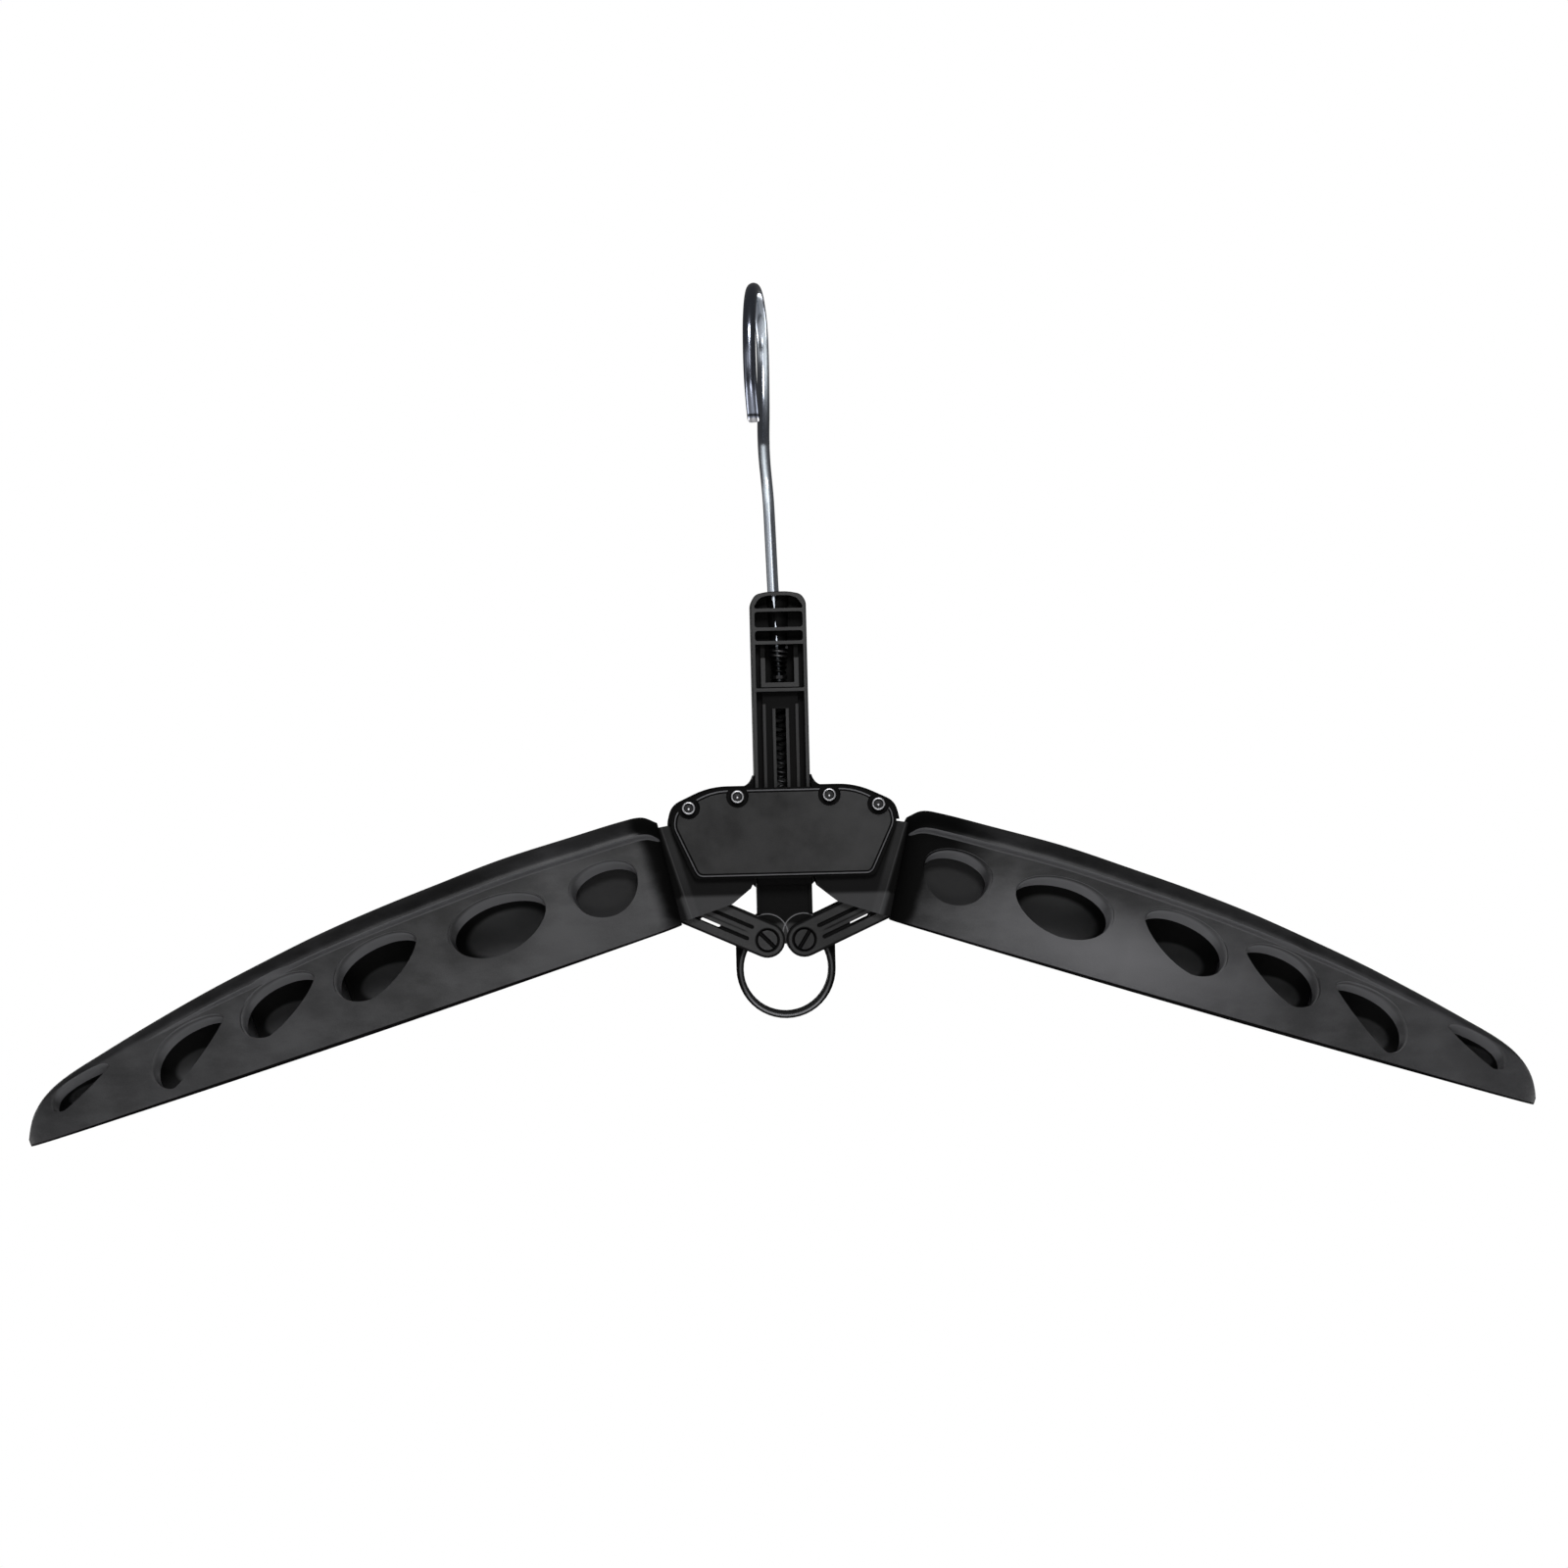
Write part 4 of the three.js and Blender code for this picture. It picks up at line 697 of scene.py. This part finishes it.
def hem_sag(u):
    """A shallow parabola: nothing at the arm's ends, its full depth halfway."""
    share = u / ARM_LENGTH
    return 4 * HEM_BOW * share * (1 - share)


def arm_place(u, y, v, side):
    """From the arm's frame to the hanger's: turned by the slope, the upper inner end leaning inwards."""
    lean = ARM_END_LEAN * (v / ARM_HEIGHT) * np.maximum(0, 1 - u / ARM_LEAN_FADE)
    along = u - lean
    x = ARM_ROOT_X + along * math.cos(ARM_SLOPE) + v * math.sin(ARM_SLOPE)
    z = ARM_ROOT_Z - along * math.sin(ARM_SLOPE) + v * math.cos(ARM_SLOPE)
    x, y, z = np.broadcast_arrays(STEM_X + side * x, y, DATUM + z)
    return np.stack([x, y, z], axis=-1)


def arm_skin(side, sink_depth):
    """The outer skin: for each station the flank, a soft crease, the roll's arc, and their mirror image."""
    inner = ARM_END_ROUND * (1 - np.cos(np.linspace(0, math.pi / 2, 14)))
    nose = DEPTH_LENGTH_SHARES[-1] * ARM_LENGTH
    straight = np.linspace(ARM_END_ROUND, nose, 130)[1:]
    outer = nose + (ARM_LENGTH - nose) * np.sin(np.linspace(0, math.pi / 2, 34)[1:])
    u = np.concatenate([inner, straight, outer])[:, None]
    top = arm_top(u)
    half = arm_half_depth(u)
    roll = top * ROLL_HEIGHT_SHARE
    ease = np.minimum(1, half / ARM_HALF_DEPTH)
    hem = half - HEM_INSET * ease
    crease = half - crease_inset(u) * ease
    flank_steps = np.linspace(0, 1, 13)[None, :]
    crease_top = top - roll
    sinks = sum(np.exp(-(((u / ARM_LENGTH - share) * ARM_LENGTH / SINK_WIDTH) ** 2)) for share in WEB_SHARES)
    flank_y = hem + (crease - hem) * flank_steps - sink_depth * sinks * (flank_steps > 0) * (flank_steps < 1)
    sag = hem_sag(u)
    flank_v = HEM_ROUND - sag + (crease_top + sag - HEM_ROUND) * flank_steps
    edge = np.linspace(0, math.pi / 2, 5)[None, :-1]
    edge_y = hem - HEM_ROUND * (1 - np.sin(edge))
    edge_v = HEM_ROUND * (1 - np.cos(edge)) - sag
    over = np.linspace(0, 1, 6)[None, 1:]
    over_y = crease + (half - crease) * (over * over * (3 - 2 * over))
    over_v = crease_top + roll * 0.28 * over
    arc = np.linspace(0, math.pi / 2, 15)[None, 1:]
    arc_y = half * np.cos(arc)
    arc_v = top - roll * 0.72 + roll * 0.72 * np.sin(arc)
    y = np.concatenate([edge_y, flank_y, over_y, arc_y], axis=1)
    v = np.concatenate([edge_v, flank_v, over_v, arc_v], axis=1)
    front = arm_place(u, -y, v, side)
    rear = arm_place(u, y, v, side)[:, -2::-1]
    return lofted("arm_skin", np.concatenate([front, rear], axis=1))


def arm_hollows(side):
    """One open-bottomed hollow between each pair of inner ribs, a wall's thickness inside the skin."""
    bounds = [ARM_WALL] + [share * ARM_LENGTH for share in WEB_SHARES] + [LAST_CELL_END_SHARE * ARM_LENGTH]
    hollows = []
    for i in range(len(bounds) - 1):
        start = bounds[i] + (WEB_THICKNESS / 2 if i else 0)
        end = bounds[i + 1] - (WEB_THICKNESS / 2 if i + 2 < len(bounds) else 0)
        u = np.linspace(start, end, 13)[:, None]
        top = arm_top(u) - ARM_WALL
        half = arm_half_depth(u)
        roll = arm_top(u) * ROLL_HEIGHT_SHARE
        ease = np.minimum(1, half / ARM_HALF_DEPTH)
        hem = half - HEM_INSET * ease - ARM_WALL
        crease = half - crease_inset(u) * ease - ARM_WALL
        arc = np.linspace(0, math.pi / 2, 8)[None, :]
        y = np.concatenate([hem, crease * (0.35 + 0.65 * np.cos(arc))], axis=1)
        v = np.concatenate([np.full_like(u, -6 * MM), top - roll + roll * np.sin(arc)], axis=1)
        rings = np.concatenate([arm_place(u, -y, v, side), arm_place(u, y, v, side)[:, ::-1]], axis=1)
        hollows.append(lofted(f"hollow_{i}", rings))
    return hollows


def leaf_outline(inner, top, outer, bottom, bow):
    """Four quarter curves through the four outermost points, the inner lower one with its own roundness."""
    ends = ((outer, top), (top, inner), (inner, bottom), (bottom, outer))
    quarters = zip(ends, (2, 2, bow, 2), (True, False, True, False))
    turn = np.linspace(0, math.pi / 2, 14, endpoint=False)
    outline = []
    for (start, end), power, upwards in quarters:
        near = np.cos(turn) ** (2 / power)
        far = np.sin(turn) ** (2 / power)
        along, across = (1 - near, far) if upwards else (far, 1 - near)
        u = (start[0] + (end[0] - start[0]) * along) * ARM_LENGTH
        v = (start[1] + (end[1] - start[1]) * across) * ARM_HEIGHT
        outline.append(np.stack([u, v], axis=-1))
    return np.concatenate(outline)


def leaf_cutter(leaf, side, lip):
    """A leaf-shaped prism that follows the flank, drifts down and inwards, and flares at the lip."""
    outline = leaf_outline(*leaf) + np.array([LEAF_SHIFT[side], 0])
    after = np.roll(outline, -1, axis=0) - np.roll(outline, 1, axis=0)
    normal = np.stack([after[:, 1], -after[:, 0]], axis=-1)
    normal /= np.linalg.norm(normal, axis=1, keepdims=True) + 1e-12
    turn = np.linspace(0, math.pi / 2, 6)
    inward = np.concatenate([[-ARM_WALL], lip * (1 - np.cos(turn)), [ARM_WALL * 1.7]])
    flare = np.concatenate([[lip], lip * (1 - np.sin(turn)), [0]])
    rings = []
    for depth, grow in zip(inward, flare):
        u, v = (outline + normal * grow).T
        surface = crease_inset(u) - arm_half_depth(np.clip(u, 0, ARM_LENGTH))
        rings.append(arm_place(u - LEAF_OUTWARD * depth, surface + depth, v - LEAF_DROP * depth, side))
    return lofted("leaf", rings)


def prism(name, outline, y0, y1):
    """An outline in x and z, carried straight from y0 to y1."""
    x, z = np.asarray(outline).T
    return lofted(name, [upright(x, y, z) for y in (y0, y1)])


def neck_outline(side):
    """A round lobe about the arm's axle, run on into the hollow of the arm."""
    turn = np.radians(np.linspace(*NECK_ANGLES, 40))
    x = STEM_X + side * (NECK_PIVOT[0] + NECK_LOBE_RADIUS * np.cos(turn))
    z = DATUM + NECK_PIVOT[1] + NECK_LOBE_RADIUS * np.sin(turn)
    lobe = np.stack([x, z], axis=-1)
    chin = np.array([[STEM_X + side * NECK_CHIN[0], DATUM + NECK_CHIN[1]]])
    u = np.array([-2.4 * MM, ARM_WALL, NECK_REACH, NECK_REACH, 0])
    low = WEB_THICKNESS
    v = np.array([low / 2, low, low, NECK_HEIGHT_INSIDE, NECK_HEIGHT_INSIDE + NECK_RISE])
    inside = arm_place(u, 0 * u, v, side)[:, [0, 2]]
    return np.concatenate([lobe, chin, inside])


def build_arm(name, side, sizes):
    """The skin, less its hollows, leaf-shaped holes and end slot, and with the two plates of the neck."""
    arm = arm_skin(side, sizes.sink_depth)
    cutters = arm_hollows(side) + [leaf_cutter(leaf, side, sizes.leaf_lip) for leaf in LEAVES]
    u = np.array([-6, 9]) * MM
    low, high = -6 * MM, NECK_HEIGHT_INSIDE
    corners = ((-NECK_INNER, low), (-NECK_INNER, high), (NECK_INNER, high), (NECK_INNER, low))
    slot = np.stack([arm_place(u, y, v, side) for y, v in corners], axis=1)
    arm = carved(arm, cutters + [lofted("end_slot", slot)])
    outline = neck_outline(side)
    necks = [prism("neck", outline, *ys) for ys in ((-NECK_OUTER, -NECK_INNER), (NECK_INNER, NECK_OUTER))]
    arm = carved(arm, necks, "UNION")
    arm.name = arm.data.name = name
    return smooth(arm, 34)


def rounded_copy(node, width):
    """A merged copy of a CAD node whose sharp edges get a small round bevel."""
    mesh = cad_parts[node].data.copy()
    made = bpy.data.objects.new(f"{node}_moulded", mesh)
    bpy.context.scene.collection.objects.link(made)
    work = bmesh.new()
    work.from_mesh(mesh)
    bmesh.ops.remove_doubles(work, verts=work.verts, dist=0.002 * MM)
    bmesh.ops.dissolve_limit(work, angle_limit=math.radians(1.5), verts=work.verts, edges=work.edges)
    work.to_mesh(mesh)
    work.free()
    smooth(made, 32)
    modify(
        made, "BEVEL", width=width, segments=2, limit_method="ANGLE", angle_limit=math.radians(32),
        harden_normals=True, use_clamp_overlap=True,
    )
    modify(made, "WEIGHTED_NORMAL", mode="FACE_AREA", weight=100, keep_sharp=True)
    return made


def turned(name, profile, x, z, sides, hexagon):
    """A profile of (radius, y) turned about an axis along Y. The rows in hexagon are six-sided: their radius
    is divided by the cosine of the angle to the nearest flat's middle."""
    turn = np.linspace(0, 2 * math.pi, sides, endpoint=False)
    flat = np.mod(turn, math.pi / 3) - math.pi / 6
    rings = []
    for row, (radius, y) in enumerate(profile):
        reach = radius / np.cos(flat) if row in hexagon else radius
        rings.append(upright(x + reach * np.cos(turn), y, z + reach * np.sin(turn)))
    return lofted(name, rings)


def centripetal(points, per_span):
    """A Catmull-Rom curve whose knots are spaced by the square root of each chord."""
    points = np.asarray(points, float)
    points = np.concatenate([[2 * points[0] - points[1]], points, [2 * points[-1] - points[-2]]])
    share = np.linspace(0, 1, per_span, endpoint=False)[:, None]
    spans = []
    for i in range(len(points) - 3):
        four = points[i : i + 4]
        chords = np.linalg.norm(np.diff(four, axis=0), axis=1)
        knots = np.concatenate([[0], np.cumsum(np.sqrt(chords))])
        at = knots[1] + (knots[2] - knots[1]) * share

        def between(first, second, start, end):
            gap = knots[end] - knots[start]
            return (knots[end] - at) / gap * first + (at - knots[start]) / gap * second

        lines = [between(four[j], four[j + 1], j, j + 1) for j in range(3)]
        bows = [between(lines[j], lines[j + 1], j, j + 2) for j in range(2)]
        spans.append(between(*bows, 1, 2))
    spans.append(points[-2:-1])
    return np.concatenate(spans)


def tube(name, centres, radii, sides):
    """Circles square to a path. Their first direction is carried along by taking out its part along each
    tangent."""
    tangents = np.gradient(centres, axis=0)
    tangents /= np.linalg.norm(tangents, axis=1, keepdims=True)
    side = np.array([1.0, 0, 0])
    first = []
    for tangent in tangents:
        side = side - tangent * side.dot(tangent)
        side /= np.linalg.norm(side)
        first.append(side)
    first = np.array(first)[:, None]
    second = np.cross(tangents, first[:, 0])[:, None]
    turn = np.linspace(0, 2 * math.pi, sides, endpoint=False)[None, :, None]
    radii = np.asarray(radii)[:, None, None]
    rings = centres[:, None] + radii * (np.cos(turn) * first + np.sin(turn) * second)
    along = np.concatenate([[0], np.cumsum(np.linalg.norm(np.diff(centres, axis=0), axis=1))])
    uv = np.stack(np.broadcast_arrays(np.linspace(0, 1, sides)[None, :], along[:, None] / 0.02), axis=-1)
    return lofted(name, rings, uv.reshape(-1, 2))


def rod_lean(height):
    return (height - ROD_LEAN_HEIGHT) * math.tan(ROD_LEAN)


def hook_path():
    """The rod and pear-shaped loop: across and up in the loop's plane, then swivelled, leaned and bent."""
    across = np.array([
        0, 0.03, 0.22, 0.56, 0.88, 1, 0.924, 0.707, 0.383, 0, -0.383, -0.707, -0.924, -1, -0.945, -0.72,
    ])
    rise = np.array([
        -2.6, -2.15, -1.83, -1.43, -0.82, -0.1, 0.383, 0.707, 0.924, 1, 0.924, 0.707, 0.383, 0, -0.65, -1.26,
    ])
    centre = WIRE_RADIUS - DATUM - LOOP_RADIUS
    flat = centripetal(np.stack([across * LOOP_RADIUS, centre + rise * LOOP_RADIUS], axis=-1), 16)
    rod = np.stack([np.zeros(40), np.linspace(ROD_TOP, flat[0, 1], 40, endpoint=False)], axis=-1)
    out, up = np.concatenate([rod, flat]).T
    straighter = np.clip(up - LOOP_STRAIGHT_HEIGHT, 0, None) * math.tan(LOOP_STRAIGHTER)
    bend = smooth_table(BEND_HEIGHTS, BEND_SHIFTS, up)
    x = STEM_X + out * math.sin(LOOP_TURN) - rod_lean(up) + straighter + bend
    return np.stack([x, out * math.cos(LOOP_TURN), DATUM + up], axis=-1)


def rod_guide(name):
    """A cone-shaped tube round the rod, open in front by a slit. At each height the tube runs round from the
    slit's right edge, behind the rod, to its left edge; the slit's half width falls to nearly nothing down
    the top pocket and widens again just above each rib below it."""
    table = (
        (85.1, 1.5), (83.5, 0.75), (81.4, 0.2), (80.9, 0.02), (79.8, 0.02), (77.2, 0.02), (76.2, 0.25),
        (75.0, 0.42), (74.7, 0.3), (73.5, 0.02), (72.4, 0.02), (71.4, 0.25), (70.6, 0.42), (70.2, 0.3),
    )
    steps = np.linspace(0, 1, 41)
    rings = []
    for height, slit in np.array(table) * MM:
        lean = rod_lean(height)
        radius = WIRE_RADIUS + 0.33 * MM + lean
        start = -math.acos((slit - lean) / radius)
        end = 2 * math.pi - math.acos((-slit - lean) / radius)
        turn = start + (end - start) * steps
        arc = np.stack([np.cos(turn), np.sin(turn)], axis=-1)
        x, y = np.concatenate([arc * (radius + 0.45 * MM), (arc * radius)[::-1]]).T
        rings.append(np.stack([STEM_X + x, y, np.full_like(x, DATUM + height)], axis=-1))
    return lofted(name, rings)


def spring(name, top, bottom, top_radius, bottom_radius, curls):
    """A coiled wire about the stem's axis, its coils' radius changing evenly from end to end."""
    share = np.linspace(0, 1, curls * 28 + 1)
    turn = 2 * math.pi * curls * share
    radius = top_radius + (bottom_radius - top_radius) * share
    z = DATUM + top - SPRING_WIRE_RADIUS + (bottom - top + 2 * SPRING_WIRE_RADIUS) * share
    coil = np.stack([STEM_X + radius * np.cos(turn), radius * np.sin(turn), z], axis=-1)
    return smooth(tube(name, coil, np.full(len(coil), SPRING_WIRE_RADIUS), 12), 40)


# Operators


class HANGER_OT_stage(bpy.types.Operator):
    """Camera, lamps, world and floor"""

    bl_idname = "hanger.stage"
    bl_label = "Stage"

    def execute(self, context):
        scene = context.scene
        scene.view_settings.view_transform = "Standard"
        data = bpy.data.cameras.new("camera")
        camera = bpy.data.objects.new("camera", data)
        scene.collection.objects.link(camera)
        back = Vector((math.sin(VIEW_YAW), -math.cos(VIEW_YAW), 0))
        target = Vector((STEM_X + VIEW_ASIDE, 0, DATUM + VIEW_HEIGHT))
        camera.location = target + back * VIEW_DISTANCE
        facing = (-back).to_track_quat("-Z", "Y").to_matrix()
        roll = Euler((0, 0, VIEW_ROLL)).to_matrix()
        camera.rotation_euler = (facing @ roll).to_euler()
        data.sensor_width = 36
        data.lens = data.sensor_width * VIEW_DISTANCE / VIEW_WIDTH
        data.clip_start = 0.01
        scene.camera = camera

        world = bpy.data.worlds.new("studio")
        scene.world = world
        world.use_nodes = True
        tree = world.node_tree
        lit = tree.nodes["Background"]
        seen = tree.nodes.new("ShaderNodeBackground")
        for background, strength in ((lit, 0.03), (seen, 1.0)):
            background.inputs[0].default_value = (1, 1, 1, 1)
            background.inputs[1].default_value = strength
        path = tree.nodes.new("ShaderNodeLightPath")
        share = tree.nodes.new("ShaderNodeMath")
        share.operation = "MULTIPLY_ADD"
        share.use_clamp = True
        tree.links.new(path.outputs["Is Glossy Ray"], share.inputs[0])
        share.inputs[1].default_value = 0.07
        tree.links.new(path.outputs["Is Camera Ray"], share.inputs[2])
        mixed(tree, share.outputs[0], lit.outputs[0], seen.outputs[0], "World Output")

        for name, place, size, power in (
            ("key", (0.05, -1.15, 0.5), (0.4, 0.3), 16.5),
            ("fill", (0.0, -1.4, 0.0), (0.3, 0.3), 0.6),
            ("low", (0.0, -1.1, -0.5), (0.5, 0.2), 1.8),
            ("band", (-0.45, -1.6, DATUM + 0.19), (2.2, 0.3), 2.0),
            ("left_band", (-1.5, -0.5, DATUM + 0.19), (2.2, 0.3), 0.7),
            ("back_low", (0.0, 1.5, -0.36), (2.2, 0.4), 14.0),
            ("left_low", (-1.4, 0.3, -0.42), (1.2, 0.3), 5.0),
            ("right_low", (1.4, 0.3, -0.42), (1.2, 0.3), 5.0),
        ):
            lamp = bpy.data.lights.new(name, "AREA")
            lamp.shape = "RECTANGLE"
            lamp.size, lamp.size_y = size
            lamp.energy = power
            holder = bpy.data.objects.new(name, lamp)
            scene.collection.objects.link(holder)
            holder.location = place
            towards = Vector((STEM_X, 0, DATUM)) - holder.location
            holder.rotation_euler = towards.to_track_quat("-Z", "Y").to_euler()

        corners = np.array([(-1, -1), (1, -1), (1, 1), (-1, 1)]) * FLOOR_REACH
        floor = mesh_object("floor", np.column_stack([corners, np.full(4, FLOOR_Z)]), [[0, 1, 2, 3]])
        shade = Shade("floor_paper")
        fleck = shade.noise(shade.place(), 300.0)
        shade.set(Base_Color=shade.blend(fleck, (0.9, 0.9, 0.9, 1), (0.93, 0.93, 0.93, 1)), Roughness=0.8)
        seen = shade.tree.nodes.new("ShaderNodeLightPath").outputs["Is Camera Ray"]
        glow = shade.tree.nodes.new("ShaderNodeEmission").outputs[0]
        mixed(shade.tree, seen, shade.surface.outputs[0], glow, "Material Output")
        floor.data.materials.append(shade.material)
        return {"FINISHED"}


class HANGER_OT_hook(bpy.types.Operator):
    """The hook's wire, the small spring at its lower end and the main spring"""

    bl_idname = "hanger.hook"
    bl_label = "Hook"

    def execute(self, context):
        colour = context.scene.hanger_finishes.wire_colour
        foot = np.array([57.0, 57.5, 57.52, 69.0, 69.3]) * MM
        foot_path = np.stack([STEM_X - rod_lean(foot), 0 * foot, DATUM + foot], axis=-1)
        centres = np.concatenate([foot_path, hook_path()])
        radii = np.full(len(centres), WIRE_RADIUS)
        radii[2:4] = ROD_FOOT_RADIUS
        radii[5:] += LOOP_THICKER * np.clip((centres[5:, 2] - DATUM - 126 * MM) / (20 * MM), 0, 1)
        radii[-1] *= 0.9
        hook = smooth(tube("hook_rod", centres, radii, 28), 40)
        finish_piece(hook, wire_material(colour), "hook", "hook_steel", "hook_wire")
        # Painted shade on the small spring's lower coils
        steel = steel_material("hook_spring_steel", (0.14, 0.14, 0.145), 0.35, (63.5, 67.5))
        small = spring("hook_spring_wire", 68.75 * MM, 59.5 * MM, 2.75 * MM, 2 * MM, 5)
        finish_piece(small, steel, "hook", "spring_steel", "hook_spring")
        # Painted shade on the main spring's upper coils
        steel = steel_material("spring_steel", (0.05, 0.05, 0.052), 0.4, (40, 14))
        main = spring("main_spring_wire", MAIN_SPRING_TOP, 4.3 * MM, 2.2 * MM, 2.2 * MM, 14)
        finish_piece(main, steel, "stem", "spring_steel")
        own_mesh(main)
        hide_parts("main_spring")
        return {"FINISHED"}


class HANGER_OT_arms(bpy.types.Operator):
    """The two hollow arms with their leaf-shaped holes and necks"""

    bl_idname = "hanger.arms"
    bl_label = "Arms"

    def execute(self, context):
        sizes = context.scene.hanger_sizes
        material = arm_material(context.scene.hanger_finishes.arm_colour)
        for name, side in (("left_arm", -1), ("right_arm", 1)):
            arm = build_arm(f"{name}_moulding", side, sizes)
            finish_piece(arm, material, name, "arm_plastic", name)
        return {"FINISHED"}


class HANGER_OT_guide(bpy.types.Operator):
    """The slit guide tube round the rod inside the stem's upper pockets"""

    bl_idname = "hanger.guide"
    bl_label = "Rod guide"

    def execute(self, context):
        colour = context.scene.hanger_finishes.body_colour
        # Shaded as the stem is: painted shade makes the guide dark
        material = body_material("guide_plastic", colour, depth=9.0)
        guide = smooth(rod_guide("rod_guide"), 40)
        finish_piece(guide, material, "stem", "stem_plastic")
        return {"FINISHED"}


class HANGER_OT_mouldings(bpy.types.Operator):
    """Rounded copies of the stem, housing, links and their screws, and the tongue behind the stem's slot"""

    bl_idname = "hanger.mouldings"
    bl_label = "Mouldings"

    def execute(self, context):
        sizes = context.scene.hanger_sizes
        colour = context.scene.hanger_finishes.body_colour
        outline = np.array([(-2.6, 8), (2.6, 8), (2.6, 26.8), (1.9, 27.5), (-1.9, 27.5), (-2.6, 26.8)]) * MM
        tongue = smooth(prism("slot_tongue", outline + (STEM_X, DATUM), 7.2 * MM, 8.1 * MM), 30)
        # Painted light: the tongue's plastic is three times lighter than the body's, lifting it out of the
        # shade behind the stem's slot
        material = body_material("tongue_plastic", grey(colour, 3.0)[:3])
        finish_piece(tongue, material, "housing", "housing_plastic")
        notches = [middle(f"cover_screw_{i}") for i in range(1, 5)]
        housing = body_material("housing_plastic", colour, 0.02, notches=notches)
        link = body_material("link_plastic", colour, 0.03, grooves=(6.5, 5.7))
        fastener = body_material("fastener_plastic", colour, 0.1, grooves=(7.1, 6.8))
        plan = [
            ("stem", "stem", body_material("stem_plastic", colour, depth=7.0), "stem_plastic"),
            ("rear_shell", "housing", housing, "housing_plastic"),
            ("front_cover", "housing", housing, "housing_plastic"),
        ]
        for side in ("left", "right"):
            for part in ("front_link", "rear_link"):
                plan.append((f"{side}_{part}", f"{side}_links", link, "link_plastic"))
            for part in ("pivot_screw", "pivot_nut"):
                plan.append((f"{side}_{part}", "stem", fastener, "fastener_plastic"))
        for node, body, material, slot in plan:
            width = sizes.edge_round * (1.8 if slot == "link_plastic" else 1)
            finish_piece(rounded_copy(node, width), material, body, slot, node)
        return {"FINISHED"}


class HANGER_OT_metal(bpy.types.Operator):
    """Steel finishes of the small screws, axles, pins and collar"""

    bl_idname = "hanger.metal"
    bl_label = "Small metal parts"

    def execute(self, context):
        middles = [middle(f"cover_screw_{i}") for i in range(1, 5)]
        screw_steel = steel_material("screw_steel", (0.5, 0.5, 0.52), 0.4, sockets=middles)
        steels = {"hook_collar": steel_material("collar_steel", (0.03, 0.03, 0.031), 0.4)}
        for side in ("left", "right"):
            steels[f"{side}_arm_axle"] = steels[f"{side}_link_pin"] = screw_steel
        for name, steel in steels.items():
            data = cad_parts[name].data
            data.materials.clear()
            data.materials.append(steel)
        profile = np.array([
            (0.05, -12.9), (0.36, -12.9), (0.42, -12.88), (0.42, -12.86), (1.35, -12.86), (1.42, -13.6),
            (1.52, -13.74), (1.7, -13.81), (2.0, -13.72), (2.2, -13.45), (2.3, -13.1), (2.3, -12.12),
            (1.0, -12.12), (1.0, -3.2), (0.05, -3.12),
        ]) * MM
        for i, (x, z) in enumerate(middles, 1):
            screw = turned(f"cover_screw_{i}_turned", profile, STEM_X + x * MM, DATUM + z * MM, 48, (3, 4, 5))
            finish_piece(smooth(screw, 38), screw_steel, "housing", "screw_steel", f"cover_screw_{i}")
        return {"FINISHED"}


OPERATORS = (
    HANGER_OT_stage,
    HANGER_OT_hook,
    HANGER_OT_guide,
    HANGER_OT_arms,
    HANGER_OT_mouldings,
    HANGER_OT_metal,
)


class HANGER_PT_panel(bpy.types.Panel):
    """The hanger's pieces"""

    bl_idname = "HANGER_PT_panel"
    bl_label = "Hanger"
    bl_space_type = "VIEW_3D"
    bl_region_type = "UI"
    bl_category = "Hanger"

    def draw(self, context):
        for operator in OPERATORS:
            self.layout.operator(operator.bl_idname)


CLASSES = (HangerSizes, HangerFinishes) + OPERATORS + (HANGER_PT_panel,)


def register():
    for made in CLASSES:
        bpy.utils.register_class(made)
    bpy.types.Scene.hanger_sizes = PointerProperty(type=HangerSizes)
    bpy.types.Scene.hanger_finishes = PointerProperty(type=HangerFinishes)


def unregister():
    del bpy.types.Scene.hanger_finishes
    del bpy.types.Scene.hanger_sizes
    for made in reversed(CLASSES):
        bpy.utils.unregister_class(made)


def main():
    register()
    bpy.ops.hanger.stage()
    bpy.ops.hanger.hook()
    bpy.ops.hanger.guide()
    bpy.ops.hanger.arms()
    bpy.ops.hanger.mouldings()
    bpy.ops.hanger.metal()
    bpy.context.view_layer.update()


if __name__ == "__main__":
    main()
